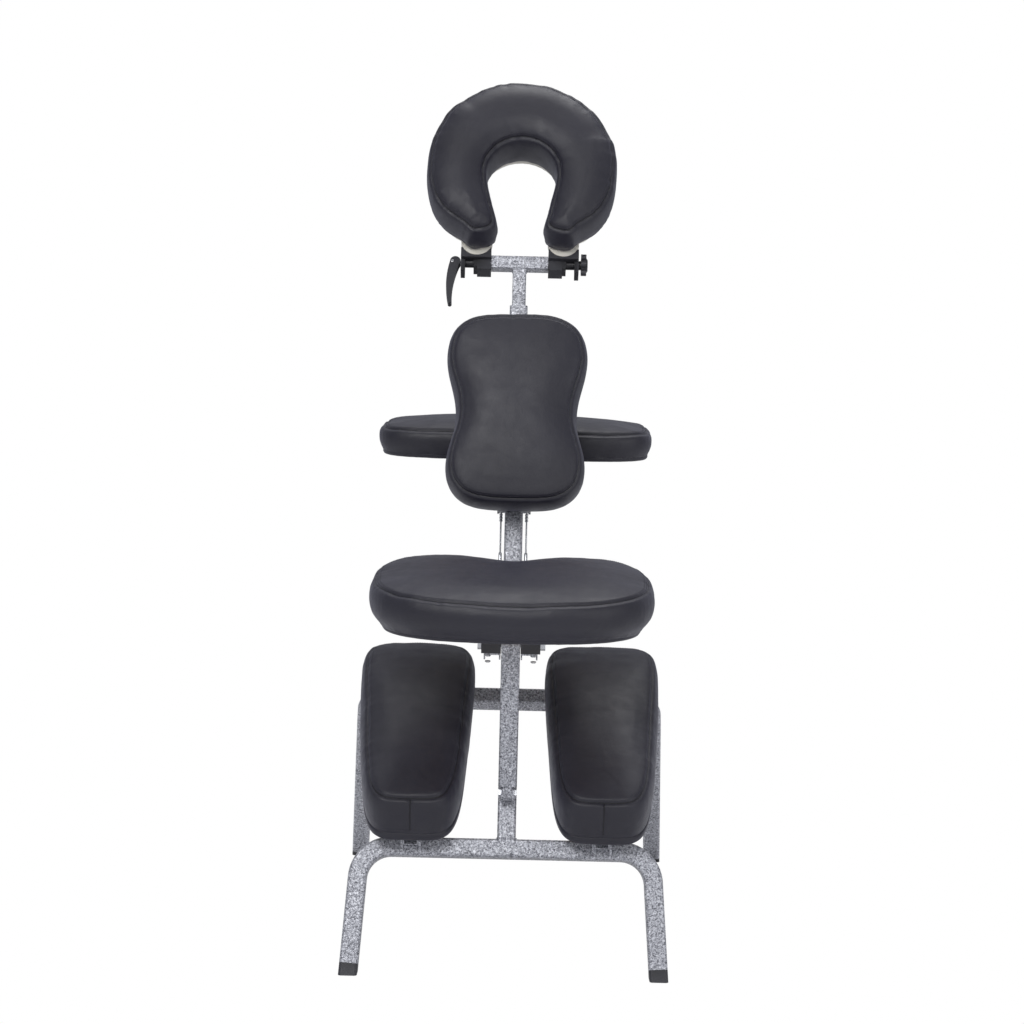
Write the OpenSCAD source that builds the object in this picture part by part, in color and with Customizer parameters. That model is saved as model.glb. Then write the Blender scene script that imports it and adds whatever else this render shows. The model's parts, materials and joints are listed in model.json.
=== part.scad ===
// Folding massage chair: a leaning spine on a bent rear leg, a second bent leg hinged behind it,
// a seat on a swinging post, two shin pads, a chest pad, an arm rest and a tilting face cradle.
// x is across the chair, y runs from the sitter's back to the front, z is up, millimetres.

/* [Frame tube] */
// Width of the square frame tube
tube_w = 25; // [22:1:28]
// Wall of the frame tube
tube_t = 1.5; // [1.2:0.1:2]
// Corner radius of the frame tube
tube_r = 4; // [3:0.5:5]
// Bend radius of the leg bows, to the tube's middle
bend_r = 45; // [38:1:60]

/* [Spine and rear leg] */
// Lean of the spine from upright, in degrees
spine_lean = 23; // [20:1:26]
// Length of the spine from the floor to its open top, along the lean
spine_len = 936; // [920:1:955]
// Distance of the rear crossbar up the lean
rear_bar = 170; // [155:1:185]
// Width across the rear feet
rear_w = 438; // [420:1:470]
// Splay of the rear legs, in degrees
rear_splay = 3.7; // [2:0.1:5]

/* [Front leg] */
// Slope of the front leg below level, in degrees
front_drop = 45.5; // [43:0.5:48]
// Distance of the front leg's hinge up the spine
leg_hinge_up = 486; // [470:1:500]
// Distance from that hinge to the front crossbar
front_bar = 183; // [170:1:195]
// Width across the front feet
front_w = 470; // [450:1:500]
// Splay of the front legs, in degrees
front_splay = 2.6; // [1:0.1:4]

/* [Seat] */
// Distance of the seat post's hinge up the spine
post_hinge_up = 242; // [225:1:255]
// Length of the seat post between its hinges
post_len = 212; // [205:1:218]
// Lean of the seat post towards the sitter's back, in degrees
post_lean = 9.7; // [8:0.1:12]
// Width of the seat pad
seat_w = 382; // [340:1:400]
// Depth of the seat pad
seat_d = 290; // [276:1:294]
// Depth of the notch in the seat's front edge
seat_notch = 48; // [44:1:54]
// Height of the seat pad's side, over its board
seat_side = 67; // [60:1:72]

/* [Shin pads] */
// Distance of each shin pad's middle from the chair's middle
shin_x = 128; // [122:1:134]
// Length of a shin pad
shin_len = 380; // [350:1:386]
// Width of a shin pad at the knee
shin_w_knee = 172; // [155:1:176]
// Width of a shin pad at the ankle
shin_w_ankle = 134; // [115:1:148]
// Height of a shin pad's side, over its board
shin_side = 58; // [48:1:64]

/* [Chest pad] */
// Distance of the chest pad's middle up the spine
chest_up = 764; // [758:1:770]
// Height of the chest pad
chest_len = 280; // [250:1:284]
// Width of the chest pad's upper and lower swells
chest_w = 212; // [195:1:225]
// Height of the chest pad's side, over its board
chest_side = 64; // [50:1:70]

/* [Arm rest] */
// Distance of the arm rest's hinge up the spine
arm_up = 715; // [708:1:720]
// Width of the arm rest pad
arm_w = 392; // [340:1:420]
// Depth of the arm rest pad
arm_d = 188; // [160:1:200]
// Height of the arm pad's side, over its board
arm_side = 29; // [24:1:40]

/* [Face cradle] */
// Width of the square tube of the face post
post_w = 19; // [17:1:20]
// Distance of the cradle's tilt axis up the spine
cradle_up = 1001; // [995:1:1010]
// Lean of the cradle beyond the spine's, in degrees
cradle_lean = 11; // [0:1:20]
// Half the width of the face pad
face_x = 136; // [130:1:141]
// Height of the face pad over its widest place
face_up = 131; // [126:1:138]
// Depth of the face pad's lobes under its widest place
face_low = 120; // [112:1:124]
// Radius of the opening for the face
hole_r = 47; // [43:1:51]
// Height of the face pad's side
face_side = 64; // [45:1:70]

/* [Hinges and clearances] */
// Diameter of the hinge bolts
bolt_d = 8; // [6:1:8]
// Gap around a shaft in its bore
run_gap = 0.05; // [0.02:0.01:0.1]
// Gap beside a part that swings between two ears
side_gap = 0.5; // [0.3:0.1:0.8]
// Gap under a part that only rests on another
rest_gap = 0.3; // [0.2:0.1:0.6]
// Thickness of the welded ears and brackets
ear_t = 3; // [2:0.5:4]

/* [Hidden] */
$fn = 48;
over = 1;
bend_lap = 0.5;
bend_swell_share = 0.0016;
half_share = 0.5;

silver_vein = [0.50, 0.50, 0.53];
black_plastic = [0.07, 0.07, 0.08];
black_leather = [0.13, 0.13, 0.16];
bright_steel = [0.75, 0.76, 0.78];
plywood = [0.72, 0.58, 0.40];
cream = [0.93, 0.92, 0.86];

// places along the spine, u forward of the rear feet's floor line and h over the floor
function spine_u(up, out) = up * sin(spine_lean) + out * cos(spine_lean);
function spine_h(up, out) = up * cos(spine_lean) - out * sin(spine_lean);

// front leg
leg_hinge_out = tube_w / 2 + ear_t + 14.5 * tube_w / 25;
leg_u = spine_u(leg_hinge_up, leg_hinge_out);
leg_h = spine_h(leg_hinge_up, leg_hinge_out);
leg_reach = leg_h / sin(front_drop);
foot_u = leg_u + leg_h / tan(front_drop);
bar_z = leg_reach - front_bar;
bar_u = leg_u + front_bar * cos(front_drop);
bar_h = leg_h - front_bar * sin(front_drop);

// seat post and seat
post_fold_gap = 1.5;
post_hinge_out = tube_w + post_fold_gap;
post_u = spine_u(post_hinge_up, -post_hinge_out);
post_h = spine_h(post_hinge_up, -post_hinge_out);
seat_u = post_u - post_len * sin(post_lean);
seat_h = post_h + post_len * cos(post_lean);
seat_back = 112;
board_t = 10;

// plastic caps plugged into the four leg ends
cap_plug = 24;
floor_gap = 6.2;

// the chair is centred over its own length
foot_reach = foot_u + tube_w / 2 / sin(front_drop);
rear_y = -(foot_reach + seat_u - seat_back) / 2;

// shin pads
rail_w = 20;
rail_t = 1.5;
rail_r = 2;
rail_back = 14;
rail_past = 18;
buffer_t = 2;
shin_hinge_up = 17;
shin_hinge_out = 21;
shin_u = spine_u(rear_bar + shin_hinge_up, -shin_hinge_out);
shin_h = spine_h(rear_bar + shin_hinge_up, -shin_hinge_out);
shin_dist = norm([bar_u - shin_u, bar_h - shin_h]);
shin_base = atan2(bar_h - shin_h, bar_u - shin_u);
function bar_support(slope) = let (turn = slope + front_drop - 90)
    (tube_w / 2 - tube_r) * (abs(cos(turn)) + abs(sin(turn))) + tube_r;
function shin_stack(slope) = bar_support(slope) + rest_gap + buffer_t + rail_w / 2;
shin_guess = shin_base + asin(shin_stack(shin_base) / shin_dist);
shin_slope = shin_base + asin(shin_stack(shin_guess) / shin_dist);
shin_start = 31;

module at_spine() { translate([0, rear_y, 0]) rotate([-spine_lean, 0, 0]) children(); }
module at_front_leg() { translate([0, rear_y + foot_u, 0]) rotate([90 - front_drop, 0, 0]) children(); }
module at_post() { translate([0, rear_y + post_u, post_h]) rotate([post_lean, 0, 0]) children(); }
module at_seat() { translate([0, rear_y + seat_u, seat_h]) children(); }
module at_shin() { translate([0, rear_y + shin_u, shin_h]) rotate([shin_slope, 0, 0]) children(); }
module at_cradle() { at_spine() translate([0, 0, cradle_up]) rotate([-cradle_lean, 0, 0]) children(); }

// a flat outline drawn in y and z, given a thickness along x from x0
module slab(x0, thick) { translate([x0, 0, 0]) rotate([90, 0, 90]) linear_extrude(thick) children(); }
module both_sides() { children(); mirror([1, 0, 0]) children(); }
module cross_bore(d, length) { rotate([0, 90, 0]) cylinder(h = length, d = d, center = true); }

// square tube outline with round corners, and the wall of such a tube
module soft_square(w, r) {
    square([w - 2 * r, w], center = true);
    square([w, w - 2 * r], center = true);
    for (sx = [-1, 1], sy = [-1, 1]) translate([sx * (w / 2 - r), sy * (w / 2 - r)]) circle(r);
}
module tube_wall(w, t, r) {
    difference() {
        soft_square(w, r);
        soft_square(w - 2 * t, r - t);
    }
}

// bent leg: a crossbar, two bends and two splayed legs, drawn upright in its own plane;
// the straight runs reach a little into the bends, which swell by a hair
function bow_leg(bar, splay, low) = (bar - bend_r * (1 - sin(splay)) - low) / cos(splay);
function bow_half(bar, width, splay) =
    width / 2 - tube_w / 2 - bend_r * cos(splay) - bow_leg(bar, splay, 0) * sin(splay);
module at_bow_leg(bar, width, splay) {
    translate([bow_half(bar, width, splay) + bend_r * cos(splay), 0, bar - bend_r * (1 - sin(splay))])
        rotate([0, 180 - splay, 0]) children();
}
module bow_run(bar, width, splay, low, extra) {
    half = bow_half(bar, width, splay);
    both_sides() translate([half, 0, bar]) {
        translate([bend_lap, 0, 0]) rotate([0, -90, 0]) linear_extrude(half + 2 * bend_lap) children();
        translate([0, 0, -bend_r]) rotate([90, 0, 0]) rotate(90) mirror([0, 1, 0]) {
            rotate_extrude(angle = 90 - splay)
                translate([bend_r, 0]) scale(1 + bend_swell_share) children();
            rotate(90 - splay) translate([bend_r, -bend_lap, 0]) rotate([-90, 0, 0])
                linear_extrude(bow_leg(bar, splay, low) + extra + bend_lap) children();
        }
    }
}
module leg_bow(bar, width, splay, low) {
    difference() {
        bow_run(bar, width, splay, low, 0) soft_square(tube_w, tube_r);
        bow_run(bar, width, splay, low, over) soft_square(tube_w - 2 * tube_t, tube_r - tube_t);
    }
}

// lowest point of each tube along its leg, so that its sunk corner stays off the floor
rear_low = (floor_gap + tube_w / 2 * sin(spine_lean)) / cos(spine_lean);
front_low = (floor_gap + tube_w / 2 * cos(front_drop)) / sin(front_drop);

// end cap of a leg: a plug in the tube and a head as wide as the tube, cut level with the floor
module foot_cap(bar, width, splay, low) {
    at_bow_leg(bar, width, splay) translate([0, 0, bow_leg(bar, splay, low)]) {
        linear_extrude(2 * low) soft_square(tube_w, tube_r);
        translate([0, 0, -cap_plug]) linear_extrude(cap_plug + over)
            soft_square(tube_w - 2 * tube_t - spigot_gap, tube_r - tube_t);
    }
}
module above_floor() {
    intersection() {
        children();
        translate([-front_w, -2 * foot_reach, 0]) cube([2 * front_w, 4 * foot_reach, 4 * cap_plug]);
    }
}

// an ear: a round end on the pivot and a straight foot of the given length
module ear_shape(foot, r) {
    circle(r);
    translate([0, -r]) square([foot, 2 * r]);
}

// a hinge bolt along x: shank, six-sided head at one end and nut at the other
head_share = 0.94;
module hinge_bolt(grip, head_t, nut_t) {
    rotate([0, 90, 0]) {
        cylinder(h = grip, d = bolt_d, center = true);
        translate([0, 0, -grip / 2 - head_t]) cylinder(h = head_t, r = bolt_d * head_share, $fn = 6);
        translate([0, 0, grip / 2]) cylinder(h = nut_t, r = bolt_d * head_share, $fn = 6);
    }
}

// rounded knuckle that fills a tube's end and carries a hinge bore, with its axis on x
knuckle_down = 14;
spigot_len = 20;
spigot_gap = 0.2;
module knuckle(w, t, r) {
    difference() {
        union() {
            rotate([0, 90, 0]) cylinder(h = w, d = w, center = true);
            translate([-w / 2, -w / 2, -knuckle_down]) cube([w, w, knuckle_down]);
            translate([0, 0, -knuckle_down - spigot_len]) linear_extrude(spigot_len + over)
                soft_square(w - 2 * t - spigot_gap, r - t);
        }
        cross_bore(bolt_d + 2 * run_gap, w + 2 * over);
    }
}

// five-lobed clamp knob on z, its stem pointing down from the head
knob_lobes = 5;
knob_hub_share = 0.66;
knob_lobe_share = 0.3;
module star_knob(r, thick) {
    linear_extrude(thick) {
        circle(r * knob_hub_share);
        for (i = [0 : knob_lobes - 1]) rotate(i * 360 / knob_lobes)
            translate([r * (1 - knob_lobe_share), 0]) circle(r * knob_lobe_share);
    }
    translate([0, 0, thick]) cylinder(h = thick / 4, r1 = r * knob_hub_share, r2 = r * half_share);
}

// rear leg, spine and what is welded to them
module rear_leg_bow() {
    color(silver_vein) at_spine() leg_bow(rear_bar, rear_w, rear_splay, rear_low);
}
knob_screw_d = 6;
post_knob_down = 19;
module spine_tube() {
    color(silver_vein) at_spine() difference() {
        translate([0, 0, rear_bar]) linear_extrude(spine_len - rear_bar) tube_wall(tube_w, tube_t, tube_r);
        translate([0, 0, rear_bar]) rotate([0, 90, 0])
            linear_extrude(2 * tube_w, center = true) soft_square(tube_w, tube_r);
        translate([0, cable_out, cable_up]) cross_bore(cable_bolt_d + 2 * run_gap, 2 * tube_w);
        translate([0, tube_w / 4, spine_len - post_knob_down]) rotate([-90, 0, 0])
            cylinder(h = tube_w, d = knob_screw_d + 2 * run_gap);
    }
}
module rear_feet() {
    color(black_plastic) above_floor()
        both_sides() at_spine() foot_cap(rear_bar, rear_w, rear_splay, rear_low);
}
leg_ear_r = 11;
module leg_hinge_bracket() {
    color(silver_vein) at_spine() translate([0, leg_hinge_out, leg_hinge_up]) difference() {
        union() {
            both_sides() slab(tube_w / 2 + side_gap, ear_t)
                rotate(180) ear_shape(leg_hinge_out - tube_w / 2, leg_ear_r);
            translate([-tube_w / 2 - side_gap - ear_t, tube_w / 2 - leg_hinge_out, -leg_ear_r])
                cube([tube_w + 2 * side_gap + 2 * ear_t, ear_t, 2 * leg_ear_r]);
        }
        cross_bore(bolt_d + 2 * run_gap, 2 * tube_w);
    }
}
nut_t = 6.5;
head_t = 5;
module leg_hinge_bolt() {
    color(bright_steel) at_spine() translate([0, leg_hinge_out, leg_hinge_up])
        hinge_bolt(tube_w + 2 * side_gap + 2 * ear_t, head_t, nut_t);
}
lug_t = 11.6;
lug_r = 10.5;
lug_gap = 0.2;
low_head_t = 3.2;
module post_hinge_ears() {
    color(silver_vein) at_spine() translate([0, -post_hinge_out, post_hinge_up]) difference() {
        both_sides() slab(lug_t / 2 + lug_gap, ear_t) ear_shape(post_hinge_out - tube_w / 2, lug_r);
        cross_bore(bolt_d + 2 * run_gap, 2 * tube_w);
    }
}
module post_hinge_bolt() {
    color(black_plastic) at_spine() translate([0, -post_hinge_out, post_hinge_up])
        hinge_bolt(lug_t + 2 * lug_gap + 2 * ear_t, low_head_t, low_head_t);
}
shin_ear_r = 9;
module shin_hinge_ears() {
    color(silver_vein) at_spine() both_sides() for (side = [-1, 1])
        translate([shin_x + side * (rail_w / 2 + side_gap + ear_t / 2), 0, rear_bar]) difference() {
            slab(-ear_t / 2, ear_t) difference() {
                union() {
                    translate([-shin_hinge_out, shin_hinge_up]) circle(shin_ear_r);
                    polygon([[-shin_hinge_out - shin_ear_r, shin_hinge_up], [-tube_w / 2, -tube_w / 4],
                        [0, 0], [tube_w / 4, tube_w / 2], [-shin_hinge_out, shin_hinge_up + shin_ear_r]]);
                }
                soft_square(tube_w, tube_r);
            }
            translate([0, -shin_hinge_out, shin_hinge_up]) cross_bore(bolt_d + 2 * run_gap, tube_w);
        }
}
module shin_hinge_bolts() {
    color(bright_steel) at_spine() both_sides()
        translate([shin_x, -shin_hinge_out, rear_bar + shin_hinge_up])
            hinge_bolt(rail_w + 2 * side_gap + 2 * ear_t, head_t, nut_t);
}

// hook on the spine's rear face that the seat's cross pin lies in
pin_d = 10;
pin_y = 130;
pin_z = 10;
hook_w = 18;
hook_t = 6;
pin_up = (seat_u + pin_y) * sin(spine_lean) + (seat_h + pin_z) * cos(spine_lean);
pin_out = (seat_h + pin_z) * sin(spine_lean) - (seat_u + pin_y) * cos(spine_lean);
module seat_hook() {
    trough = pin_d / 2 + rest_gap;
    color(silver_vein) at_spine() translate([0, -pin_out, pin_up]) slab(-hook_w / 2, hook_w) difference() {
        union() {
            translate([-trough - hook_t, -trough - hook_t])
                square([pin_out - tube_w / 2 + trough + hook_t, trough + hook_t]);
            translate([-trough - hook_t / 2, 0]) circle(hook_t / 2);
        }
        circle(trough);
        translate([-trough, 0]) square([2 * pin_out, pin_d]);
    }
}
bush_len = 60;
bush_gap = 0.1;
module spine_top_bush() {
    color(black_plastic) at_spine() difference() {
        translate([0, 0, spine_len - bush_len]) linear_extrude(bush_len)
            soft_square(tube_w - 2 * tube_t - spigot_gap, tube_r - tube_t);
        translate([0, 0, spine_len - bush_len - over]) linear_extrude(bush_len + 2 * over)
            soft_square(post_w + 2 * bush_gap, tube_r / 2 + bush_gap);
        translate([0, 0, spine_len - post_knob_down]) rotate([-90, 0, 0])
            cylinder(h = tube_w, d = knob_screw_d + 2 * run_gap);
    }
}

// two wire ropes from a bolt through the spine to the seat carrier's ends
cable_d = 2.4;
cable_bolt_d = 5;
cable_x = 17.7;
cable_up = 640;
anchor_y = 158;
anchor_r = 7;
cable_low = (seat_u + anchor_y) * sin(spine_lean) + (seat_h + pin_z) * cos(spine_lean);
cable_out = (seat_u + anchor_y) * cos(spine_lean) - (seat_h + pin_z) * sin(spine_lean);
eye_r = 3.8;
ferrule_d = 4.6;
ferrule_len = 11;
stud_len = 86;
bolt_cap = 3;
module cable_bolt() {
    color(bright_steel) at_spine() translate([0, cable_out, cable_up]) {
        cross_bore(cable_bolt_d, 2 * (cable_x + cable_d));
        both_sides() translate([cable_x + cable_d, 0, 0]) rotate([0, 90, 0])
            cylinder(h = bolt_cap, d = 2 * eye_r);
    }
}
module cable_end(sleeve_len) {
    rotate([0, 90, 0]) rotate_extrude() translate([eye_r + run_gap, 0]) circle(d = cable_d, $fn = 16);
    translate([0, 0, eye_r]) cylinder(h = sleeve_len, d = ferrule_d);
}
module seat_cables() {
    span = cable_up - cable_low;
    color(bright_steel) at_spine() both_sides() translate([cable_x, cable_out, cable_low]) {
        cable_end(stud_len);
        translate([0, 0, span]) mirror([0, 0, 1]) cable_end(ferrule_len);
        translate([0, 0, eye_r + over]) cylinder(h = span - 2 * eye_r - 2 * over, d = cable_d);
    }
}

// front leg
module front_leg_bow() {
    color(silver_vein) at_front_leg() leg_bow(bar_z, front_w, front_splay, front_low);
}
module front_leg_tube() {
    color(silver_vein) at_front_leg() difference() {
        translate([0, 0, bar_z]) linear_extrude(front_bar - knuckle_down) tube_wall(tube_w, tube_t, tube_r);
        translate([0, 0, bar_z]) rotate([0, 90, 0])
            linear_extrude(2 * tube_w, center = true) soft_square(tube_w, tube_r);
    }
}
module front_leg_knuckle() {
    color(black_plastic) at_front_leg() translate([0, 0, leg_reach]) knuckle(tube_w, tube_t, tube_r);
}
module front_feet() {
    color(black_plastic) above_floor() both_sides() at_front_leg()
        foot_cap(bar_z, front_w, front_splay, front_low);
}

// cushion outlines: a power curve with half sizes a and b, drawn in by inset
function spow(v, p) = sign(v) * pow(abs(v), p);
function power_curve(a, b, n, t) = [a * spow(cos(t), 2 / n), b * spow(sin(t), 2 / n)];
function bump(v, w) = exp(-pow(v / w, 2));

cushion_points = 56;
draw_share = 0.16;
crown_rings_share = [0.9, 0.72, 0.5, 0.26];
// rings of a stuffed pad: [inset, height], drawn in at the board, swelling, pinched at the seam
function side_rings(side, draw, seam) = [[draw, 0], [draw / 4, side / 4], [0, side / 2],
    [seam / 4, side * 3 / 4], [seam * 3 / 4, side - seam / 2],
        [seam + seam / 4, side], [seam + seam / 3, side + seam / 4]];
// outline(inset, t) gives a point; fall(x, y) is how far the top sinks there
module cushion(outline, fall, side, crown, draw, seam) {
    n = cushion_points;
    rings = side_rings(side, draw, seam);
    last = rings[len(rings) - 1];
    sides = [for (r = rings, i = [0 : n - 1]) let (p = outline(r[0], i * 360 / n))
        [p[0], p[1], r[1] - fall(p[0], p[1]) * r[1] / side]];
    tops = [for (k = crown_rings_share, i = [0 : n - 1]) let (p = k * outline(last[0], i * 360 / n))
        [p[0], p[1], last[1] + crown * (1 - k * k) - fall(p[0], p[1])]];
    count = len(rings) + len(crown_rings_share);
    low = count * n;
    faces = concat(
        [for (j = [0 : count - 2], i = [0 : n - 1]) let (k = (i + 1) % n)
            [j * n + i, (j + 1) * n + i, (j + 1) * n + k]],
        [for (j = [0 : count - 2], i = [0 : n - 1]) let (k = (i + 1) % n)
            [j * n + i, (j + 1) * n + k, j * n + k]],
        [for (i = [0 : n - 1]) [low, i, (i + 1) % n]],
        [for (i = [0 : n - 1]) [low + 1, (count - 1) * n + (i + 1) % n, (count - 1) * n + i]]);
    polyhedron(concat(sides, tops, [[0, 0, 0], [0, 0, last[1] + crown - fall(0, 0)]]), faces);
}
module board(outline, inset, thick) {
    linear_extrude(thick)
        polygon([for (i = [0 : cushion_points - 1]) outline(inset, i * 360 / cushion_points)]);
}
flat = function (x, y) 0;
board_inset = 9;
pad_seam = 5;

// shin pads: rails hinged on the rear crossbar, resting on the front one
shin_curve = 5;
shin_board_t = 12;
shin_crown = 7;
shin_fall = 28;
shin_fall_share = 0.36;
shin_draw = 4;
shin_board_inset = 5;
shin_outline = function (inset, t)
    let (p = power_curve(1, shin_len / 2 - inset, shin_curve, t), k = half_share + p[1] / shin_len)
    [p[0] * ((shin_w_ankle + (shin_w_knee - shin_w_ankle) * k) / 2 - inset), p[1]];
shin_drop = function (x, y) let (d = y / shin_len + half_share - (1 - shin_fall_share))
    d > 0 ? shin_fall * pow(d / shin_fall_share, 2) : 0;
module shin_rail() {
    color(silver_vein) at_shin() translate([shin_x, 0, 0]) difference() {
        translate([0, -rail_back, 0]) rotate([-90, 0, 0])
            linear_extrude(shin_dist + rail_back + rail_past) tube_wall(rail_w, rail_t, rail_r);
        cross_bore(bolt_d + 2 * run_gap, 2 * rail_w);
    }
}
module shin_board() {
    color(plywood) at_shin() translate([shin_x, shin_len / 2 - shin_start, rail_w / 2])
        board(shin_outline, shin_board_inset, shin_board_t);
}
module shin_pad() {
    color(black_leather) at_shin()
        translate([shin_x, shin_len / 2 - shin_start, rail_w / 2 + shin_board_t + rest_gap])
        cushion(shin_outline, shin_drop, shin_side, shin_crown, shin_draw, pad_seam);
}
buffer_len = 44;
module shin_buffer() {
    color(black_plastic) at_shin()
        translate([shin_x - rail_w / 2, shin_dist - buffer_len / 2, -rail_w / 2 - buffer_t])
        cube([rail_w, buffer_len, buffer_t]);
}
module shin_rail_right() { shin_rail(); }
module shin_board_right() { shin_board(); }
module shin_pad_right() { shin_pad(); }
module shin_buffer_right() { shin_buffer(); }
module shin_rail_left() { mirror([1, 0, 0]) shin_rail(); }
module shin_board_left() { mirror([1, 0, 0]) shin_board(); }
module shin_pad_left() { mirror([1, 0, 0]) shin_pad(); }
module shin_buffer_left() { mirror([1, 0, 0]) shin_buffer(); }

// seat post
module seat_post_tube() {
    color(silver_vein) at_post() translate([0, 0, knuckle_down])
        linear_extrude(post_len - 2 * knuckle_down) tube_wall(tube_w, tube_t, tube_r);
}
module seat_post_lug() {
    color(silver_vein) at_post() difference() {
        union() {
            slab(-lug_t / 2, lug_t) rotate(90) ear_shape(knuckle_down, lug_r);
            translate([0, 0, knuckle_down]) linear_extrude(spigot_len)
                soft_square(tube_w - 2 * tube_t - spigot_gap, tube_r - tube_t);
        }
        cross_bore(bolt_d + 2 * run_gap, 2 * lug_t);
    }
}
module seat_post_knuckle() {
    color(silver_vein) at_post() translate([0, 0, post_len]) knuckle(tube_w, tube_t, tube_r);
}

// seat carrier: blocks beside the post, a folded channel and two arms that reach past the spine
block_w = 26;
block_back = 14;
block_front = 20;
block_low = 10;
seat_rise = 19;
channel_t = 2;
channel_drop = 8;
channel_half = 35.5;
arm_x = tube_w / 2 + 0.8 * tube_w / 25;
arm_tall = 60;
arm_tall_end = 108;
flange_w = 15;
module seat_blocks() {
    color(black_plastic) at_seat() difference() {
        both_sides() translate([tube_w / 2 + side_gap, -block_back, -block_low])
            cube([block_w, block_back + block_front, block_low + seat_rise]);
        cross_bore(bolt_d + 2 * run_gap, 2 * (tube_w + block_w));
    }
}
module seat_carrier() {
    base = -block_low - channel_drop;
    color(silver_vein) at_seat() both_sides() {
        difference() {
            slab(arm_x, channel_t) {
                polygon([[-block_back, base], [block_front, base], [anchor_y, pin_z - anchor_r],
                    [anchor_y, pin_z + anchor_r], [arm_tall_end, seat_rise], [arm_tall, seat_rise],
                    [block_front, -block_low], [-block_back, -block_low]]);
                translate([anchor_y, pin_z]) circle(anchor_r);
            }
            translate([0, pin_y, pin_z]) cross_bore(pin_d + 2 * run_gap, 4 * tube_w);
        }
        translate([arm_x, -block_back, -block_low - channel_t])
            cube([channel_half - arm_x, block_back + block_front, channel_t]);
        translate([channel_half - channel_t, -block_back, base])
            cube([channel_t, block_back + block_front, channel_drop]);
        translate([arm_x, arm_tall, seat_rise - channel_t])
            cube([channel_t + flange_w, arm_tall_end - arm_tall, channel_t]);
        translate([arm_x + channel_t, anchor_y, pin_z]) rotate([0, 90, 0])
            cylinder(h = cable_x + cable_d - arm_x - channel_t, d = cable_bolt_d);
    }
}
module seat_cross_pin() {
    color(bright_steel) at_seat() translate([0, pin_y, pin_z]) {
        cross_bore(pin_d, 2 * (arm_x + channel_t) + bolt_cap);
    }
}
module seat_hinge_bolt() {
    color(bright_steel) at_seat()
        hinge_bolt(2 * (tube_w / 2 + side_gap + block_w), head_t, nut_t);
}
seat_curve = 2.7;
notch_w = 62;
seat_outline = function (inset, t)
    let (p = power_curve(seat_w / 2 - inset, seat_d / 2 - inset, seat_curve, t))
    [p[0], p[1] - (sin(t) > 0 ? seat_notch * bump(p[0], notch_w) * sin(t) : 0)];
seat_draw = 12;
seat_crown = 8;
seat_lean_fall = 23;
seat_drop = function (x, y) seat_lean_fall * (half_share - y / seat_d);
module seat_board() {
    color(plywood) at_seat() translate([0, seat_d / 2 - seat_back, seat_rise])
        board(seat_outline, seat_draw + board_inset, board_t);
}
module seat_pad() {
    color(black_leather) at_seat() translate([0, seat_d / 2 - seat_back, seat_rise + board_t + rest_gap])
        cushion(seat_outline, seat_drop, seat_side, seat_crown, seat_draw, pad_seam);
}

// sleeves that slide on the spine
sleeve_t = 2.5;
sleeve_gap = 0.2;
plate_t = 3;
sleeve_out = tube_w / 2 + sleeve_gap + sleeve_t;
module sleeve(low, tall) {
    translate([0, 0, low]) linear_extrude(tall) difference() {
        soft_square(2 * sleeve_out, tube_r + sleeve_gap + sleeve_t);
        soft_square(tube_w + 2 * sleeve_gap, tube_r + sleeve_gap);
    }
}
boss_r = 8;
boss_len = 8;
knob_r = 16;
knob_t = 13;
knob_off = 3;
// boss on a sleeve's side with a clearance hole for the clamp screw, both along z here
module at_clamp(side, up) { translate([0, knob_off, up]) rotate([0, side * 90, 0]) children(); }
module boss() {
    translate([0, 0, sleeve_out - over]) cylinder(h = boss_len + over, r = boss_r);
}
module screw_hole() {
    translate([0, 0, tube_w / 2 - over])
        cylinder(h = sleeve_t + boss_len + 3 * over, d = knob_screw_d + 2 * run_gap);
}
module clamp_knob(from, face) {
    translate([0, 0, from]) cylinder(h = face - from + over, d = knob_screw_d);
    translate([0, 0, face]) star_knob(knob_r, knob_t);
}
screw_tip = 0.1;

// chest pad on its sleeve
chest_sleeve_low = chest_up + 36;
chest_sleeve_len = 50;
chest_plate_w = 90;
chest_plate_len = 150;
chest_stand = 1.2;
module chest_sleeve() {
    mid = chest_sleeve_low + chest_sleeve_len / 2;
    color(silver_vein) at_spine() {
        difference() {
            union() {
                sleeve(chest_sleeve_low, chest_sleeve_len);
                at_clamp(1, mid) boss();
            }
            at_clamp(1, mid) screw_hole();
        }
        translate([-boss_r, -sleeve_out - chest_stand, chest_sleeve_low])
            cube([2 * boss_r, chest_stand + sleeve_t / 2, chest_sleeve_len]);
        translate([-chest_plate_w / 2, -sleeve_out - chest_stand - plate_t, chest_up - chest_plate_len / 2])
            cube([chest_plate_w, plate_t, chest_plate_len]);
    }
}
module chest_knob() {
    color(black_plastic) at_spine() at_clamp(1, chest_sleeve_low + chest_sleeve_len / 2)
        clamp_knob(tube_w / 2 + screw_tip, sleeve_out + boss_len + rest_gap);
}
chest_curve = 3.8;
waist_share = 0.2;
waist_at = -4;
waist_w = 62;
chest_outline = function (inset, t)
    let (p = power_curve(chest_w / 2 - inset, chest_len / 2 - inset, chest_curve, t))
    [p[0] * (1 - waist_share * bump(p[1] - waist_at, waist_w)), p[1]];
chest_draw = 10;
chest_crown = 8;
module at_chest() {
    at_spine() translate([0, -sleeve_out - chest_stand - plate_t, chest_up]) rotate([90, 0, 0]) children();
}
module chest_board() {
    color(plywood) at_chest() board(chest_outline, board_inset + chest_draw, board_t);
}
module chest_pad() {
    color(black_leather) at_chest() translate([0, 0, board_t + rest_gap])
        cushion(chest_outline, flat, chest_side, chest_crown, chest_draw, pad_seam);
}

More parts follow.
